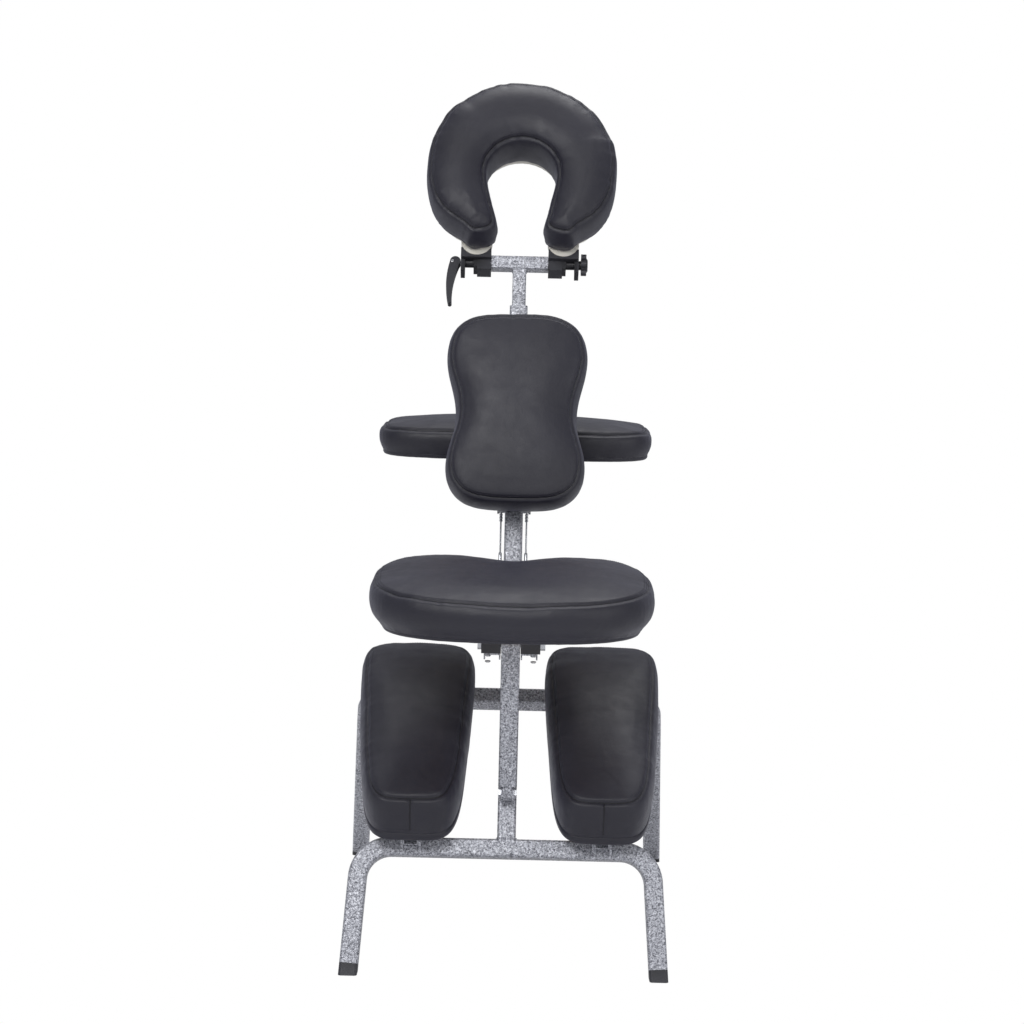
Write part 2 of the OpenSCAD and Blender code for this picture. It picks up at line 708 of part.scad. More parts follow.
// arm rest on its sleeve
arm_sleeve_below = 35;
arm_sleeve_len = 65;
arm_knob_up = -18;
arm_out = 45;
arm_beam_w = 20;
arm_u = spine_u(arm_up, arm_out);
arm_h = spine_h(arm_up, arm_out);
arm_beam_back = 10;
arm_beam_len = 172;
arm_rear = 10;
module at_arm() { translate([0, rear_y + arm_u, arm_h]) children(); }
module arm_sleeve() {
    reach = arm_out - tube_w / 2 - sleeve_gap;
    color(silver_vein) at_spine() difference() {
        union() {
            sleeve(arm_up - arm_sleeve_below, arm_sleeve_len);
            at_clamp(-1, arm_up + arm_knob_up) boss();
            both_sides() translate([0, arm_out, arm_up]) slab(arm_beam_w / 2 + side_gap, ear_t)
                rotate(180) ear_shape(reach, lug_r);
        }
        at_clamp(-1, arm_up + arm_knob_up) screw_hole();
        translate([0, arm_out, arm_up]) cross_bore(bolt_d + 2 * run_gap, 4 * arm_beam_w);
    }
}
module arm_sleeve_knob() {
    color(black_plastic) at_spine() at_clamp(-1, arm_up + arm_knob_up)
        clamp_knob(tube_w / 2 + screw_tip, sleeve_out + boss_len + rest_gap);
}
module arm_beam() {
    color(silver_vein) at_arm() difference() {
        translate([0, -arm_beam_back, 0]) rotate([-90, 0, 0])
            linear_extrude(arm_beam_back + arm_beam_len) tube_wall(arm_beam_w, rail_t, rail_r);
        cross_bore(bolt_d + 2 * run_gap, 2 * arm_beam_w);
    }
}
module arm_hinge_bolt() {
    grip = arm_beam_w + 2 * side_gap + 2 * ear_t;
    color(bright_steel) at_arm() rotate([0, 90, 0]) {
        translate([0, 0, -grip / 2]) cylinder(h = grip + knob_t / 2, d = bolt_d);
        translate([0, 0, -grip / 2 - head_t]) cylinder(h = head_t, r = bolt_d * head_share, $fn = 6);
    }
}
module arm_hinge_knob() {
    grip = arm_beam_w + 2 * side_gap + 2 * ear_t;
    color(black_plastic) at_arm() translate([grip / 2 + rest_gap, 0, 0]) rotate([0, 90, 0]) difference() {
        star_knob(knob_r, knob_t);
        translate([0, 0, -over]) cylinder(h = knob_t / 2 + over, d = bolt_d + 2 * run_gap);
    }
}
arm_curve = 4.2;
arm_draw = 7;
arm_crown = 7;
arm_outline = function (inset, t) power_curve(arm_w / 2 - inset, arm_d / 2 - inset, arm_curve, t);
module at_arm_pad() { at_arm() translate([0, arm_rear + arm_d / 2, arm_beam_w / 2]) children(); }
module arm_board() { color(plywood) at_arm_pad() board(arm_outline, board_inset, board_t); }
module arm_pad() {
    color(black_leather) at_arm_pad() translate([0, 0, board_t + rest_gap])
        cushion(arm_outline, flat, arm_side, arm_crown, arm_draw, pad_seam);
}

// face post: a smaller square tube with a crossbar
post_wall = 1.5;
post_r = 2;
post_in = 150;
bar_half = 40;
module face_post() {
    color(silver_vein) at_spine() {
        translate([0, 0, spine_len - post_in]) linear_extrude(cradle_up - post_w / 2 - spine_len + post_in)
            tube_wall(post_w, post_wall, post_r);
        translate([0, 0, cradle_up]) rotate([0, 90, 0])
            linear_extrude(2 * bar_half, center = true) tube_wall(post_w, post_wall, post_r);
    }
}
tip_d = 14;
tip_len = 20;
shank_len = 20;
rod_d = 6;
rod_play = 0.3;
module cradle_spigots() {
    color(bright_steel) at_spine() translate([0, 0, cradle_up]) both_sides()
        rotate([0, 90, 0]) difference() {
        union() {
            translate([0, 0, bar_half - shank_len]) linear_extrude(shank_len)
                soft_square(post_w - 2 * post_wall - spigot_gap, post_r / 2);
            translate([0, 0, bar_half]) cylinder(h = tip_len, d = tip_d);
        }
        translate([0, 0, bar_half - shank_len - over])
            cylinder(h = shank_len + tip_len + 2 * over, d = rod_d + 2 * rod_play);
    }
}
module post_knob() {
    color(black_plastic) at_spine() translate([0, 0, spine_len - post_knob_down]) rotate([-90, 0, 0])
        clamp_knob(post_w / 2 + screw_tip, tube_w / 2 + 2 * rest_gap);
}

// cradle saddles: moulded blocks that turn on the spigots and hold the plate's lobes
lobe_r = 22;
lobe_x = 61;
lobe_z = 25.5;
saddle_gap = 0.2;
saddle_end = 83;
saddle_near = 19;
saddle_far = 12;
saddle_top = 15;
block_down = 15;
collar_x = 60;
collar_down = 11.5;
barrel_x = 65;
barrel_r = 6.5;
flange_x = 77;
flange_down = 17.5;
module cradle_saddle() {
    color(black_plastic) at_cradle() difference() {
        union() {
            translate([bar_half + saddle_gap, -saddle_far, -block_down])
                cube([collar_x - bar_half - saddle_gap, 2 * saddle_far, block_down]);
            translate([collar_x, -saddle_far + over, -collar_down])
                cube([barrel_x - collar_x, 2 * saddle_far - 2 * over, collar_down]);
            translate([barrel_x, 0, 0]) rotate([0, 90, 0]) cylinder(h = flange_x - barrel_x, r = barrel_r);
            translate([flange_x, -saddle_far, -flange_down])
                cube([saddle_end - flange_x, 2 * saddle_far, flange_down]);
            translate([bar_half + saddle_gap, -saddle_near, 0])
                cube([saddle_end - bar_half - saddle_gap, saddle_near + saddle_far, saddle_top]);
        }
        translate([lobe_x, saddle_far + over, lobe_z]) rotate([90, 0, 0])
            cylinder(h = saddle_near + saddle_far + 2 * over, r = lobe_r + rest_gap, $fn = 96);
        translate([bar_half, 0, 0]) rotate([0, 90, 0])
            cylinder(h = tip_len + saddle_gap, d = tip_d + 2 * run_gap);
        translate([bar_half, 0, 0]) rotate([0, 90, 0]) cylinder(h = saddle_end, d = rod_d + 2 * rod_play);
    }
}
module cradle_saddle_right() { cradle_saddle(); }
module cradle_saddle_left() { mirror([1, 0, 0]) cradle_saddle(); }

// clamp rod through both saddles, with a flat eye for the cam lever's pin
lever_x = 95;
eye_t = 4.8;
eye_flat_r = 3.4;
pin_lever_d = 3.2;
lever_t = 12;
knob_neck = 3;
thin_knob_share = 0.58;
module cradle_rod() {
    color(bright_steel) at_cradle() {
        difference() {
            union() {
                translate([-lever_x, 0, 0]) rotate([0, 90, 0])
                    cylinder(h = lever_x + saddle_end + knob_neck + knob_t / 2, d = rod_d);
                translate([-lever_x, eye_t / 2, 0]) rotate([90, 0, 0]) cylinder(h = eye_t, r = eye_flat_r);
            }
            for (s = [0, 1]) mirror([0, s, 0])
                translate([-lever_x - eye_flat_r - over, eye_t / 2, -eye_flat_r])
                cube([eye_flat_r + over + cam_off + cam_r + rod_play, eye_t, 2 * eye_flat_r]);
        }
        translate([-lever_x, lever_t / 2 + over, 0])
            rotate([90, 0, 0]) cylinder(h = lever_t + 2 * over, d = pin_lever_d);
    }
}

// horseshoe on the cradle's plane: angle 0 is the forehead, turning down both sides to the lobes
face_z = 128;
face_square = 2.8;
hole_z = 106;
hole_narrow = 18;
hole_power = 1.3;
face_turn = 152;
lobe_end = 30;
tip_len_face = 9;
function face_outer(a, inset) = let (e = cos(a) > 0 ? 1 : 2 / face_square)
    [(face_x - inset) * spow(sin(a), e),
        face_z + ((cos(a) > 0 ? face_up : face_low) - inset) * spow(cos(a), e)];
function face_inner(a, inset) = let (k = max(abs(a) - 90, 0) / (face_turn - 90), r = hole_r + inset)
    [sign(a) * (k > 0 ? r - hole_narrow * pow(k, hole_power) : r * sin(abs(a))),
        k > 0 ? hole_z - (hole_z - lobe_end) * k : hole_z + r * cos(a)];
tip_power = 3;
tip_steps = 6;
function tip_edge(side, inset, e) =
    let (p = face_outer(side * face_turn, inset), q = face_inner(side * face_turn, inset),
        m = (p + q) / 2, w = pow(1 - pow(abs(e), tip_power), 1 / tip_power))
    [m[0] + e * (p[0] - q[0]) / 2, m[1] + e * (p[1] - q[1]) / 2 - (tip_len_face - inset) * w];
arc_steps = 30;
module horseshoe(inset) {
    polygon(concat(
        [for (i = [0 : arc_steps]) face_outer(-face_turn + 2 * face_turn * i / arc_steps, inset)],
        [for (i = [tip_steps - 1 : -1 : 1 - tip_steps]) tip_edge(1, inset, i / tip_steps)],
        [for (i = [0 : arc_steps]) face_inner(face_turn - 2 * face_turn * i / arc_steps, inset)],
        [for (i = [1 - tip_steps : tip_steps - 1]) tip_edge(-1, inset, i / tip_steps)]));
}
plate_back = 8;
plate_thick = 10;
plate_inset = 9;
module cradle_plate() {
    color(cream) at_cradle() translate([0, -plate_back, 0]) rotate([90, 0, 0]) {
        linear_extrude(plate_thick) horseshoe(plate_inset);
        both_sides() translate([lobe_x, lobe_z, 0]) intersection() {
            cylinder(h = plate_thick, r = lobe_r);
            translate([-lobe_r, -lobe_r, 0]) cube([2 * lobe_r, lobe_r + plate_thick, plate_thick]);
        }
    }
}

// face pad: one padded section swept round the horseshoe, thinner at the lobes and closed over each
face_crown_share = 0.17;
lobe_thin_share = 0.16;
face_draw = 9;
section_share = [[-1, 0, 1], [-1, 0.28, 0.1], [-1, 0.6, 0.1], [-1, 0.88, 0.8], [-1, 1, 1.5],
    [-0.8, 1.02, 1.5], [-0.4, 1, 1], [0, 1, 1], [0.4, 1, 1], [0.8, 1.02, 1.5],
    [1, 1, 1.5], [1, 0.88, 0.8], [1, 0.6, 0.1], [1, 0.28, 0.1], [1, 0, 1]];
face_steps = 30;
cap_share = [0.4, 0.7, 0.9, 0.99];
function face_ring(a, slide, shrink) =
    let (p = face_outer(a, 0), q = face_inner(a, 0), half = norm(p - q) / 2 * shrink,
        mid = (p + q) / 2 - [0, slide], out = (p - q) / norm(p - q),
            tall = face_side * (1 - lobe_thin_share * pow(a / face_turn, 2)))
    [for (s = section_share) let (w = s[0] * max(half - face_draw * s[2] * shrink, 0),
        rise = 1 - s[0] * s[0])
        [mid[0] + w * out[0], mid[1] + w * out[1], tall * (s[1] + face_crown_share * rise * shrink)]];
module face_pad() {
    caps = len(cap_share);
    function cap(e) = pow(1 - pow(e, tip_power), 1 / tip_power);
    rings = concat([for (i = [caps - 1 : -1 : 0])
        face_ring(-face_turn, tip_len_face * cap_share[i], cap(cap_share[i]))],
        [for (i = [0 : face_steps]) face_ring(-face_turn + 2 * face_turn * i / face_steps, 0, 1)],
        [for (i = [0 : caps - 1]) face_ring(face_turn, tip_len_face * cap_share[i], cap(cap_share[i]))]);
    m = len(section_share);
    n = len(rings);
    color(black_leather) at_cradle()
        translate([0, -plate_back - plate_thick - rest_gap, 0]) rotate([90, 0, 0])
        polyhedron([for (r = rings) each r], concat(
            [for (j = [0 : n - 2], i = [0 : m - 1])
                let (k = (i + 1) % m) [j * m + i, j * m + k, (j + 1) * m + k]],
            [for (j = [0 : n - 2], i = [0 : m - 1])
                let (k = (i + 1) % m) [j * m + i, (j + 1) * m + k, (j + 1) * m + i]],
            [for (i = [1 : m - 2]) [0, i + 1, i]],
            [for (i = [1 : m - 2]) [(n - 1) * m, (n - 1) * m + i, (n - 1) * m + i + 1]]));
}

// cam lever: a round cam set off from its pin, and a bowed handle tapering from it, forked over the
// rod's eye
cam_r = 7.5;
cam_off = 4.2;
lever_tip_r = 2.8;
lever_len = 65;
lever_sweep = 21.4;
lever_return = 15.2;
lever_steps = 12;
function lever_mid(k) = [cam_off - lever_sweep * k + lever_return * k * k, -lever_len * k];
function lever_half(k) = cam_r + (lever_tip_r - cam_r) * k;
module cam_lever() {
    slot = eye_t + 2 * rod_play;
    color(black_plastic) at_cradle() translate([-lever_x, lever_t / 2, 0]) rotate([90, 0, 0]) difference() {
        linear_extrude(lever_t) {
            translate([cam_off, 0]) circle(cam_r);
            translate(lever_mid(1)) circle(lever_tip_r);
            polygon(concat([for (i = [0 : lever_steps])
                lever_mid(i / lever_steps) - [lever_half(i / lever_steps), 0]],
                [for (i = [lever_steps : -1 : 0])
                lever_mid(i / lever_steps) + [lever_half(i / lever_steps), 0]]));
        }
        translate([0, 0, -over]) cylinder(h = lever_t + 2 * over, d = pin_lever_d + 2 * run_gap);
        translate([0, 0, (lever_t - slot) / 2]) {
            cylinder(h = slot, r = eye_flat_r + rod_play);
            translate([0, -rod_d / 2 - rod_play, 0]) cube([2 * cam_r + cam_off, 2 * cam_r, slot]);
            translate([-2 * cam_r, 0, 0]) cube([4 * cam_r, 2 * cam_r, slot]);
        }
    }
}
module cradle_knob() {
    color(black_plastic) at_cradle()
        translate([saddle_end + rest_gap, 0, 0]) rotate([0, 90, 0]) difference() {
        union() {
            cylinder(h = knob_neck + over, r = barrel_r);
            translate([0, 0, knob_neck]) star_knob(knob_r, knob_t * thin_knob_share);
        }
        translate([0, 0, -over]) cylinder(h = knob_neck + knob_t / 2 + over, d = rod_d + 2 * run_gap);
    }
}

rear_leg_bow();
spine_tube();
rear_feet();
leg_hinge_bracket();
leg_hinge_bolt();
post_hinge_ears();
post_hinge_bolt();
shin_hinge_ears();
shin_hinge_bolts();
seat_hook();
spine_top_bush();
cable_bolt();
seat_cables();
front_leg_bow();
front_leg_tube();
front_leg_knuckle();
front_feet();
shin_rail_left();
shin_board_left();
shin_pad_left();
shin_buffer_left();
shin_rail_right();
shin_board_right();
shin_pad_right();
shin_buffer_right();
seat_post_tube();
seat_post_lug();
seat_post_knuckle();
seat_blocks();
seat_carrier();
seat_cross_pin();
seat_hinge_bolt();
seat_board();
seat_pad();
chest_sleeve();
chest_board();
chest_pad();
chest_knob();
arm_sleeve();
arm_sleeve_knob();
arm_beam();
arm_hinge_bolt();
arm_hinge_knob();
arm_board();
arm_pad();
face_post();
cradle_spigots();
post_knob();
cradle_saddle_left();
cradle_saddle_right();
cradle_rod();
cradle_plate();
face_pad();
cam_lever();
cradle_knob();
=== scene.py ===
import json
import math

import bmesh
import bpy
import numpy as np
from mathutils import Matrix, Vector
from mathutils.bvhtree import BVHTree
from mathutils.kdtree import KDTree


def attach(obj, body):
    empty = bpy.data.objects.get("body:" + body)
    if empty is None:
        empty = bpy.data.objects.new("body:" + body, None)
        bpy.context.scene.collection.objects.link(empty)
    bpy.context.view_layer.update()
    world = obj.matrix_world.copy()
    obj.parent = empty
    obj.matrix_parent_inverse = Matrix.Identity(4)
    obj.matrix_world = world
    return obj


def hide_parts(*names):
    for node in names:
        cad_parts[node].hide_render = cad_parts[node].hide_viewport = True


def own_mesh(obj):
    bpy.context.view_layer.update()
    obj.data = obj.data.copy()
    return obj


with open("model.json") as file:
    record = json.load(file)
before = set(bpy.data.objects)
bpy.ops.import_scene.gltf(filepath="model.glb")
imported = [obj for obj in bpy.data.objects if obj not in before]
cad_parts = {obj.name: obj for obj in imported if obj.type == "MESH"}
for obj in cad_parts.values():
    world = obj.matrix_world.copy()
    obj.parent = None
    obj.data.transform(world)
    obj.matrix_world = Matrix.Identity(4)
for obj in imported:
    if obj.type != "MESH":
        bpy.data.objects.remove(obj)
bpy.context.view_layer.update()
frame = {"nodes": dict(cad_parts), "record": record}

scene = bpy.context.scene

# fixed places of the chair, the same as in its CAD source: metres, and leans in degrees
chair = {"rearY": -0.2927926, "spineLean": 23, "seatY": 0.0344438, "seatZ": 0.4420857,
         "shinX": 0.128, "shinY": 0.0537361, "shinZ": 0.1803398, "shinTilt": 27.9865,
         "chestOut": 0.0194, "chestUp": 0.764,
         "armY": 0.3207955, "armZ": 0.6405781, "cradleUp": 1.001, "cradleLean": 11,
         "frontY": 0.645616, "frontDrop": 45.5}
rearY = chair["rearY"]

# camera: near side of the chair, a little above the face cradle, looking slightly down
cameraPlace = {"back": 4.070, "height": 1.200, "pitch": 8.06, "roll": 1.33, "pan": 0.036,
               "lens": 111.02, "sensor": 36, "reach": 60}


def makeCamera(place):
    camData = bpy.data.cameras.new("camera")
    camData.lens = place["lens"]
    camData.sensor_width = place["sensor"]
    camData.clip_end = place["reach"]
    cam = bpy.data.objects.new("camera", camData)
    scene.collection.objects.link(cam)
    cam.location = (0, rearY - place["back"], place["height"])
    look = Matrix.Rotation(math.radians(place["pan"]), 4, "Z")
    tilt = Matrix.Rotation(math.radians(90 - place["pitch"]), 4, "X")
    roll = Matrix.Rotation(math.radians(place["roll"]), 4, "Z")
    cam.rotation_euler = (look @ tilt @ roll).to_euler()
    scene.camera = cam


makeCamera(cameraPlace)


def shift(x, y, z):
    return Matrix.Translation((x, y, z))


def turnX(degrees):
    return Matrix.Rotation(math.radians(degrees), 4, "X")


# the leaning spine and what it carries
atSpine = shift(0, rearY, 0) @ turnX(-chair["spineLean"])
atSeat = shift(0, rearY + chair["seatY"], chair["seatZ"])
atShin = shift(0, rearY + chair["shinY"], chair["shinZ"]) @ turnX(chair["shinTilt"])
atChest = atSpine @ shift(0, -chair["chestOut"], chair["chestUp"]) @ turnX(90)
atArm = shift(0, rearY + chair["armY"], chair["armZ"])
atCradle = atSpine @ shift(0, 0, chair["cradleUp"]) @ turnX(-chair["cradleLean"])
atFrontLeg = shift(0, rearY + chair["frontY"], 0) @ turnX(90 - chair["frontDrop"])


def newMaterial(name):
    mat = bpy.data.materials.new(name)
    mat.use_nodes = True
    return mat, mat.node_tree, mat.node_tree.nodes["Principled BSDF"]


def addNode(tree, kind, props=None, **inputs):
    made = tree.nodes.new(kind)
    for key, value in (props or {}).items():
        setattr(made, key, value)
    for key, value in inputs.items():
        label = key.replace("_", " ")
        if isinstance(value, bpy.types.NodeSocket):
            tree.links.new(value, made.inputs[label])
        else:
            made.inputs[label].default_value = value
    return made


def objectPlace(tree):
    return addNode(tree, "ShaderNodeTexCoord").outputs["Object"]


def stretched(tree, place, scale):
    return addNode(tree, "ShaderNodeMapping", Vector=place, Scale=scale).outputs["Vector"]


def noise(tree, place, scale, detail=2.0, rough=0.5, distort=0.0):
    return addNode(tree, "ShaderNodeTexNoise", Vector=place, Scale=scale, Detail=detail,
                   Roughness=rough, Distortion=distort).outputs["Fac"]


def cells(tree, place, scale, feature="F1"):
    return addNode(tree, "ShaderNodeTexVoronoi", {"feature": feature}, Vector=place,
                   Scale=scale).outputs["Distance"]


def ramp(tree, factor, stops):
    made = addNode(tree, "ShaderNodeValToRGB", Fac=factor)
    band = made.color_ramp
    while len(band.elements) < len(stops):
        band.elements.new(0.5)
    for element, (at, colour) in zip(band.elements, stops):
        element.position = at
        element.color = (*colour, 1) if len(colour) == 3 else colour
    return made.outputs["Color"]


def remap(tree, value, low, high, toLow, toHigh, smooth=False):
    props = {"interpolation_type": "SMOOTHSTEP"} if smooth else {}
    made = addNode(tree, "ShaderNodeMapRange", props, Value=value)
    for label, number in (("From Min", low), ("From Max", high), ("To Min", toLow), ("To Max", toHigh)):
        made.inputs[label].default_value = number
    return made.outputs["Result"]


def sums(tree, operation, a, b=0.0):
    made = addNode(tree, "ShaderNodeMath", {"operation": operation})
    for index, value in enumerate((a, b)):
        if isinstance(value, bpy.types.NodeSocket):
            tree.links.new(value, made.inputs[index])
        else:
            made.inputs[index].default_value = value
    return made.outputs[0]


def blendColour(tree, factor, a, b, way="MIX"):
    made = addNode(tree, "ShaderNodeMix", {"data_type": "RGBA", "blend_type": way})
    for index, value in ((0, factor), (6, a), (7, b)):
        if isinstance(value, bpy.types.NodeSocket):
            tree.links.new(value, made.inputs[index])
        else:
            made.inputs[index].default_value = value
    return made.outputs[2]


def bumps(tree, layers):
    last = None
    for height, strength, distance in layers:
        made = addNode(tree, "ShaderNodeBump", Height=height, Strength=strength, Distance=distance)
        if last:
            tree.links.new(last, made.inputs["Normal"])
        last = made.outputs["Normal"]
    return last


def finish(tree, bsdf, **sockets):
    for key, value in sockets.items():
        label = key.replace("_", " ")
        if isinstance(value, bpy.types.NodeSocket):
            tree.links.new(value, bsdf.inputs[label])
        else:
            bsdf.inputs[label].default_value = value


# the leather's tones; the seam colour is painted shade for the seam grooves
leatherLook = {"dark": (0.012, 0.011, 0.019), "light": (0.020, 0.019, 0.031),
               "pore": (0.008, 0.008, 0.011, 1), "pebbles": 760,
               "seamShadeColour": (0.003, 0.003, 0.004, 1), "seamWidth": 0.0014, "rollWidth": 0.006}


# black synthetic leather: pebbled grain, soft creases, and the seams from the cover's own distances, with
# painted shade darkening each seam groove
def leatherMaterial(name, sewn):
    look = leatherLook
    mat, tree, bsdf = newMaterial(name)
    place = objectPlace(tree)
    colour = ramp(tree, noise(tree, place, 7, 3), [(0.3, look["dark"]), (0.72, look["light"])])
    pebble = cells(tree, place, look["pebbles"], "DISTANCE_TO_EDGE")
    colour = blendColour(tree, remap(tree, pebble, 0.0, 0.16, 0.35, 0.0), colour, look["pore"])
    layers = [
        (noise(tree, place, 26, 4, 0.55, 0.5), 0.22, 0.0022),
        (noise(tree, place, 90, 3, 0.6, 1.2), 0.10, 0.0012),
        (remap(tree, pebble, 0.0, 0.2, 0.0, 1.0), 0.30, 0.00022),
        (noise(tree, place, 2600, 2), 0.12, 0.00008),
    ]
    rough = remap(tree, noise(tree, place, 55, 3), 0.3, 0.7, 0.40, 0.52)
    if sewn:
        for label in ("seam", "endSeam"):
            found = addNode(tree, "ShaderNodeAttribute", {"attribute_name": label}).outputs["Fac"]
            far = sums(tree, "ABSOLUTE", found)
            line = remap(tree, far, 0.0, look["seamWidth"], 0.0, 1.0, True)
            roll = remap(tree, far, 0.0, look["rollWidth"], 0.0, 1.0, True)
            layers += [(roll, 0.55, 0.0016), (line, 0.8, 0.0009)]
            # painted shade: the colour is darkened along the seam groove, where shade falls in the recess
            dark = remap(tree, far, 0.0003, look["seamWidth"], 0.92, 0.0, True)
            colour = blendColour(tree, dark, colour, look["seamShadeColour"])
    finish(tree, bsdf, Base_Color=colour, Roughness=rough, Normal=bumps(tree, layers),
           Specular_IOR_Level=0.5, Sheen_Weight=0.10, Sheen_Roughness=0.5,
           Sheen_Tint=(0.62, 0.62, 0.9, 1), Coat_Weight=0.06, Coat_Roughness=0.35)
    return mat


veinLook = {"veins": 430, "bend": 210.0, "flakes": 1500, "flake": (0.75, 0.76, 0.80, 1),
            "stops": [(0.34, (0.08, 0.082, 0.10)), (0.45, (0.27, 0.275, 0.31)),
                      (0.54, (0.48, 0.49, 0.54)), (0.68, (0.76, 0.77, 0.82))]}


# hammered powder coat: small pale islands with dark veins between them
def hammerMaterial():
    mat, tree, bsdf = newMaterial("silverVein")
    place = objectPlace(tree)
    bent = addNode(tree, "ShaderNodeTexNoise", Vector=place, Scale=veinLook["bend"], Detail=2.0)
    nudged = addNode(tree, "ShaderNodeVectorMath", {"operation": "MULTIPLY_ADD"})
    tree.links.new(bent.outputs["Color"], nudged.inputs[0])
    nudged.inputs[1].default_value = (0.006, 0.006, 0.006)
    tree.links.new(place, nudged.inputs[2])
    veins = noise(tree, nudged.outputs["Vector"], veinLook["veins"], 2.5, 0.62, 0.6)
    colour = ramp(tree, veins, veinLook["stops"])
    flakes = cells(tree, place, veinLook["flakes"])
    colour = blendColour(tree, remap(tree, flakes, 0.05, 0.35, 0.2, 0.0), colour, veinLook["flake"])
    rough = remap(tree, veins, 0.35, 0.65, 0.52, 0.33)
    layers = [(remap(tree, veins, 0.35, 0.65, 0.0, 1.0, True), 0.35, 0.0004),
              (noise(tree, place, 60, 2), 0.08, 0.0008)]
    finish(tree, bsdf, Base_Color=colour, Metallic=0.35, Roughness=rough, Normal=bumps(tree, layers),
           Coat_Weight=0.25, Coat_Roughness=0.25)
    return mat


# moulded plastic or rubber with a fine matt grain, and a painted highlight that makes it lighter along its
# edges
def plasticMaterial(name, dark, light, rough, grain, edgeHighlight):
    mat, tree, bsdf = newMaterial(name)
    place = objectPlace(tree)
    colour = ramp(tree, noise(tree, place, 30, 3), [(0.3, dark), (0.7, light)])
    # painted highlight: the colour is lightened where edges stand out, as if their rounding caught the light
    edge = addNode(tree, "ShaderNodeNewGeometry").outputs["Pointiness"]
    colour = blendColour(tree, remap(tree, edge, 0.52, 0.60, 0.0, edgeHighlight), colour,
                         (*[min(1, 3 * c + 0.02) for c in light], 1))
    layers = [(noise(tree, place, grain, 3), 0.22, 0.00018), (noise(tree, place, 70, 2), 0.06, 0.0008)]
    finish(tree, bsdf, Base_Color=colour, Normal=bumps(tree, layers),
           Roughness=remap(tree, noise(tree, place, 140, 2), 0.3, 0.7, rough - 0.05, rough + 0.07))
    return mat


# plated steel with the faint drag marks of its polishing
def zincMaterial(name, tint, rough):
    mat, tree, bsdf = newMaterial(name)
    place = objectPlace(tree)
    colour = ramp(tree, noise(tree, place, 45, 3), [(0.3, tuple(0.82 * c for c in tint)), (0.7, tint)])
    brushed = noise(tree, stretched(tree, place, (900, 120, 120)), 1, 2)
    finish(tree, bsdf, Base_Color=colour, Metallic=1.0,
           Roughness=remap(tree, brushed, 0.3, 0.7, rough - 0.06, rough + 0.1),
           Normal=bumps(tree, [(brushed, 0.08, 0.0001)]))
    return mat


# birch plywood: long grain across the board, with fine dark fibres
def plyMaterial():
    mat, tree, bsdf = newMaterial("plywood")
    place = objectPlace(tree)
    grain = noise(tree, stretched(tree, place, (40, 6, 6)), 6, 4, 0.6, 1.0)
    fibres = noise(tree, stretched(tree, place, (600, 30, 600)), 1, 2)
    colour = ramp(tree, grain, [(0.3, (0.38, 0.25, 0.13)), (0.7, (0.58, 0.42, 0.25))])
    colour = blendColour(tree, remap(tree, fibres, 0.4, 0.65, 0.0, 0.3), colour, (0.26, 0.16, 0.08, 1))
    finish(tree, bsdf, Base_Color=colour, Roughness=remap(tree, fibres, 0.3, 0.7, 0.55, 0.72),
           Normal=bumps(tree, [(fibres, 0.25, 0.0003)]))
    return mat


def threadMaterial():
    mat, tree, bsdf = newMaterial("thread")
    place = objectPlace(tree)
    twist = noise(tree, stretched(tree, place, (2500, 2500, 2500)), 1, 1)
    colour = ramp(tree, twist, [(0.35, (0.012, 0.012, 0.016)), (0.65, (0.050, 0.048, 0.062))])
    finish(tree, bsdf, Base_Color=colour, Roughness=0.5, Normal=bumps(tree, [(twist, 0.4, 0.0002)]))
    return mat


leather = leatherMaterial("blackLeather", True)
wrapLeather = leatherMaterial("wrapLeather", False)
silverVein = hammerMaterial()
blackPlastic = plasticMaterial("blackPlastic", (0.012, 0.012, 0.015), (0.021, 0.021, 0.026), 0.42, 1300, 0.35)
blackRubber = plasticMaterial("blackRubber", (0.010, 0.010, 0.010), (0.017, 0.017, 0.017), 0.7, 600, 0.15)
creamPlastic = plasticMaterial("creamPlastic", (0.74, 0.70, 0.60), (0.84, 0.80, 0.71), 0.40, 500, 0.2)
zincSteel = zincMaterial("zincSteel", (0.72, 0.73, 0.76), 0.24)
brightPin = zincMaterial("brightPin", (0.93, 0.93, 0.94), 0.16)
plywood = plyMaterial()
thread = threadMaterial()
print("materials made")

# every solid of the frame takes the finish of its slot
slotMaterial = {"silver_vein": silverVein, "black_plastic": blackPlastic, "black_rubber": blackRubber,
                "zinc_steel": zincSteel, "plywood": plywood, "cream_plastic": creamPlastic,
                "black_leather": wrapLeather}
for part in frame["record"]["subparts"]:
    cadNode = frame["nodes"][part["node"]]
    finishMat = slotMaterial[part["material_slot"]]
    if not cadNode.material_slots:
        cadNode.data.materials.append(finishMat)
    for held in cadNode.material_slots:
        held.material = finishMat


def link(name, mesh):
    made = bpy.data.objects.new(name, mesh)
    scene.collection.objects.link(made)
    return made


def meshFrom(name, points, faces, mat, smooth=True):
    mesh = bpy.data.meshes.new(name)
    mesh.from_pydata([tuple(p) for p in points], [], [tuple(int(i) for i in f) for f in faces])
    mesh.validate()
    mesh.materials.append(mat)
    made = bmesh.new()
    made.from_mesh(mesh)
    bmesh.ops.recalc_face_normals(made, faces=made.faces)
    made.to_mesh(mesh)
    made.free()
    mesh.polygons.foreach_set("use_smooth", [smooth] * len(mesh.polygons))
    return mesh


def moved(matrix, points):
    points = np.asarray(points, float).reshape(-1, 3)
    m = np.array(matrix)
    return points @ m[:3, :3].T + m[:3, 3]


def evaluated(made):
    bpy.context.view_layer.update()
    graph = bpy.context.evaluated_depsgraph_get()
    return bpy.data.meshes.new_from_object(made.evaluated_get(graph))


def settle(made):
    mesh = evaluated(made)
    made.modifiers.clear()
    made.data = mesh
    return made


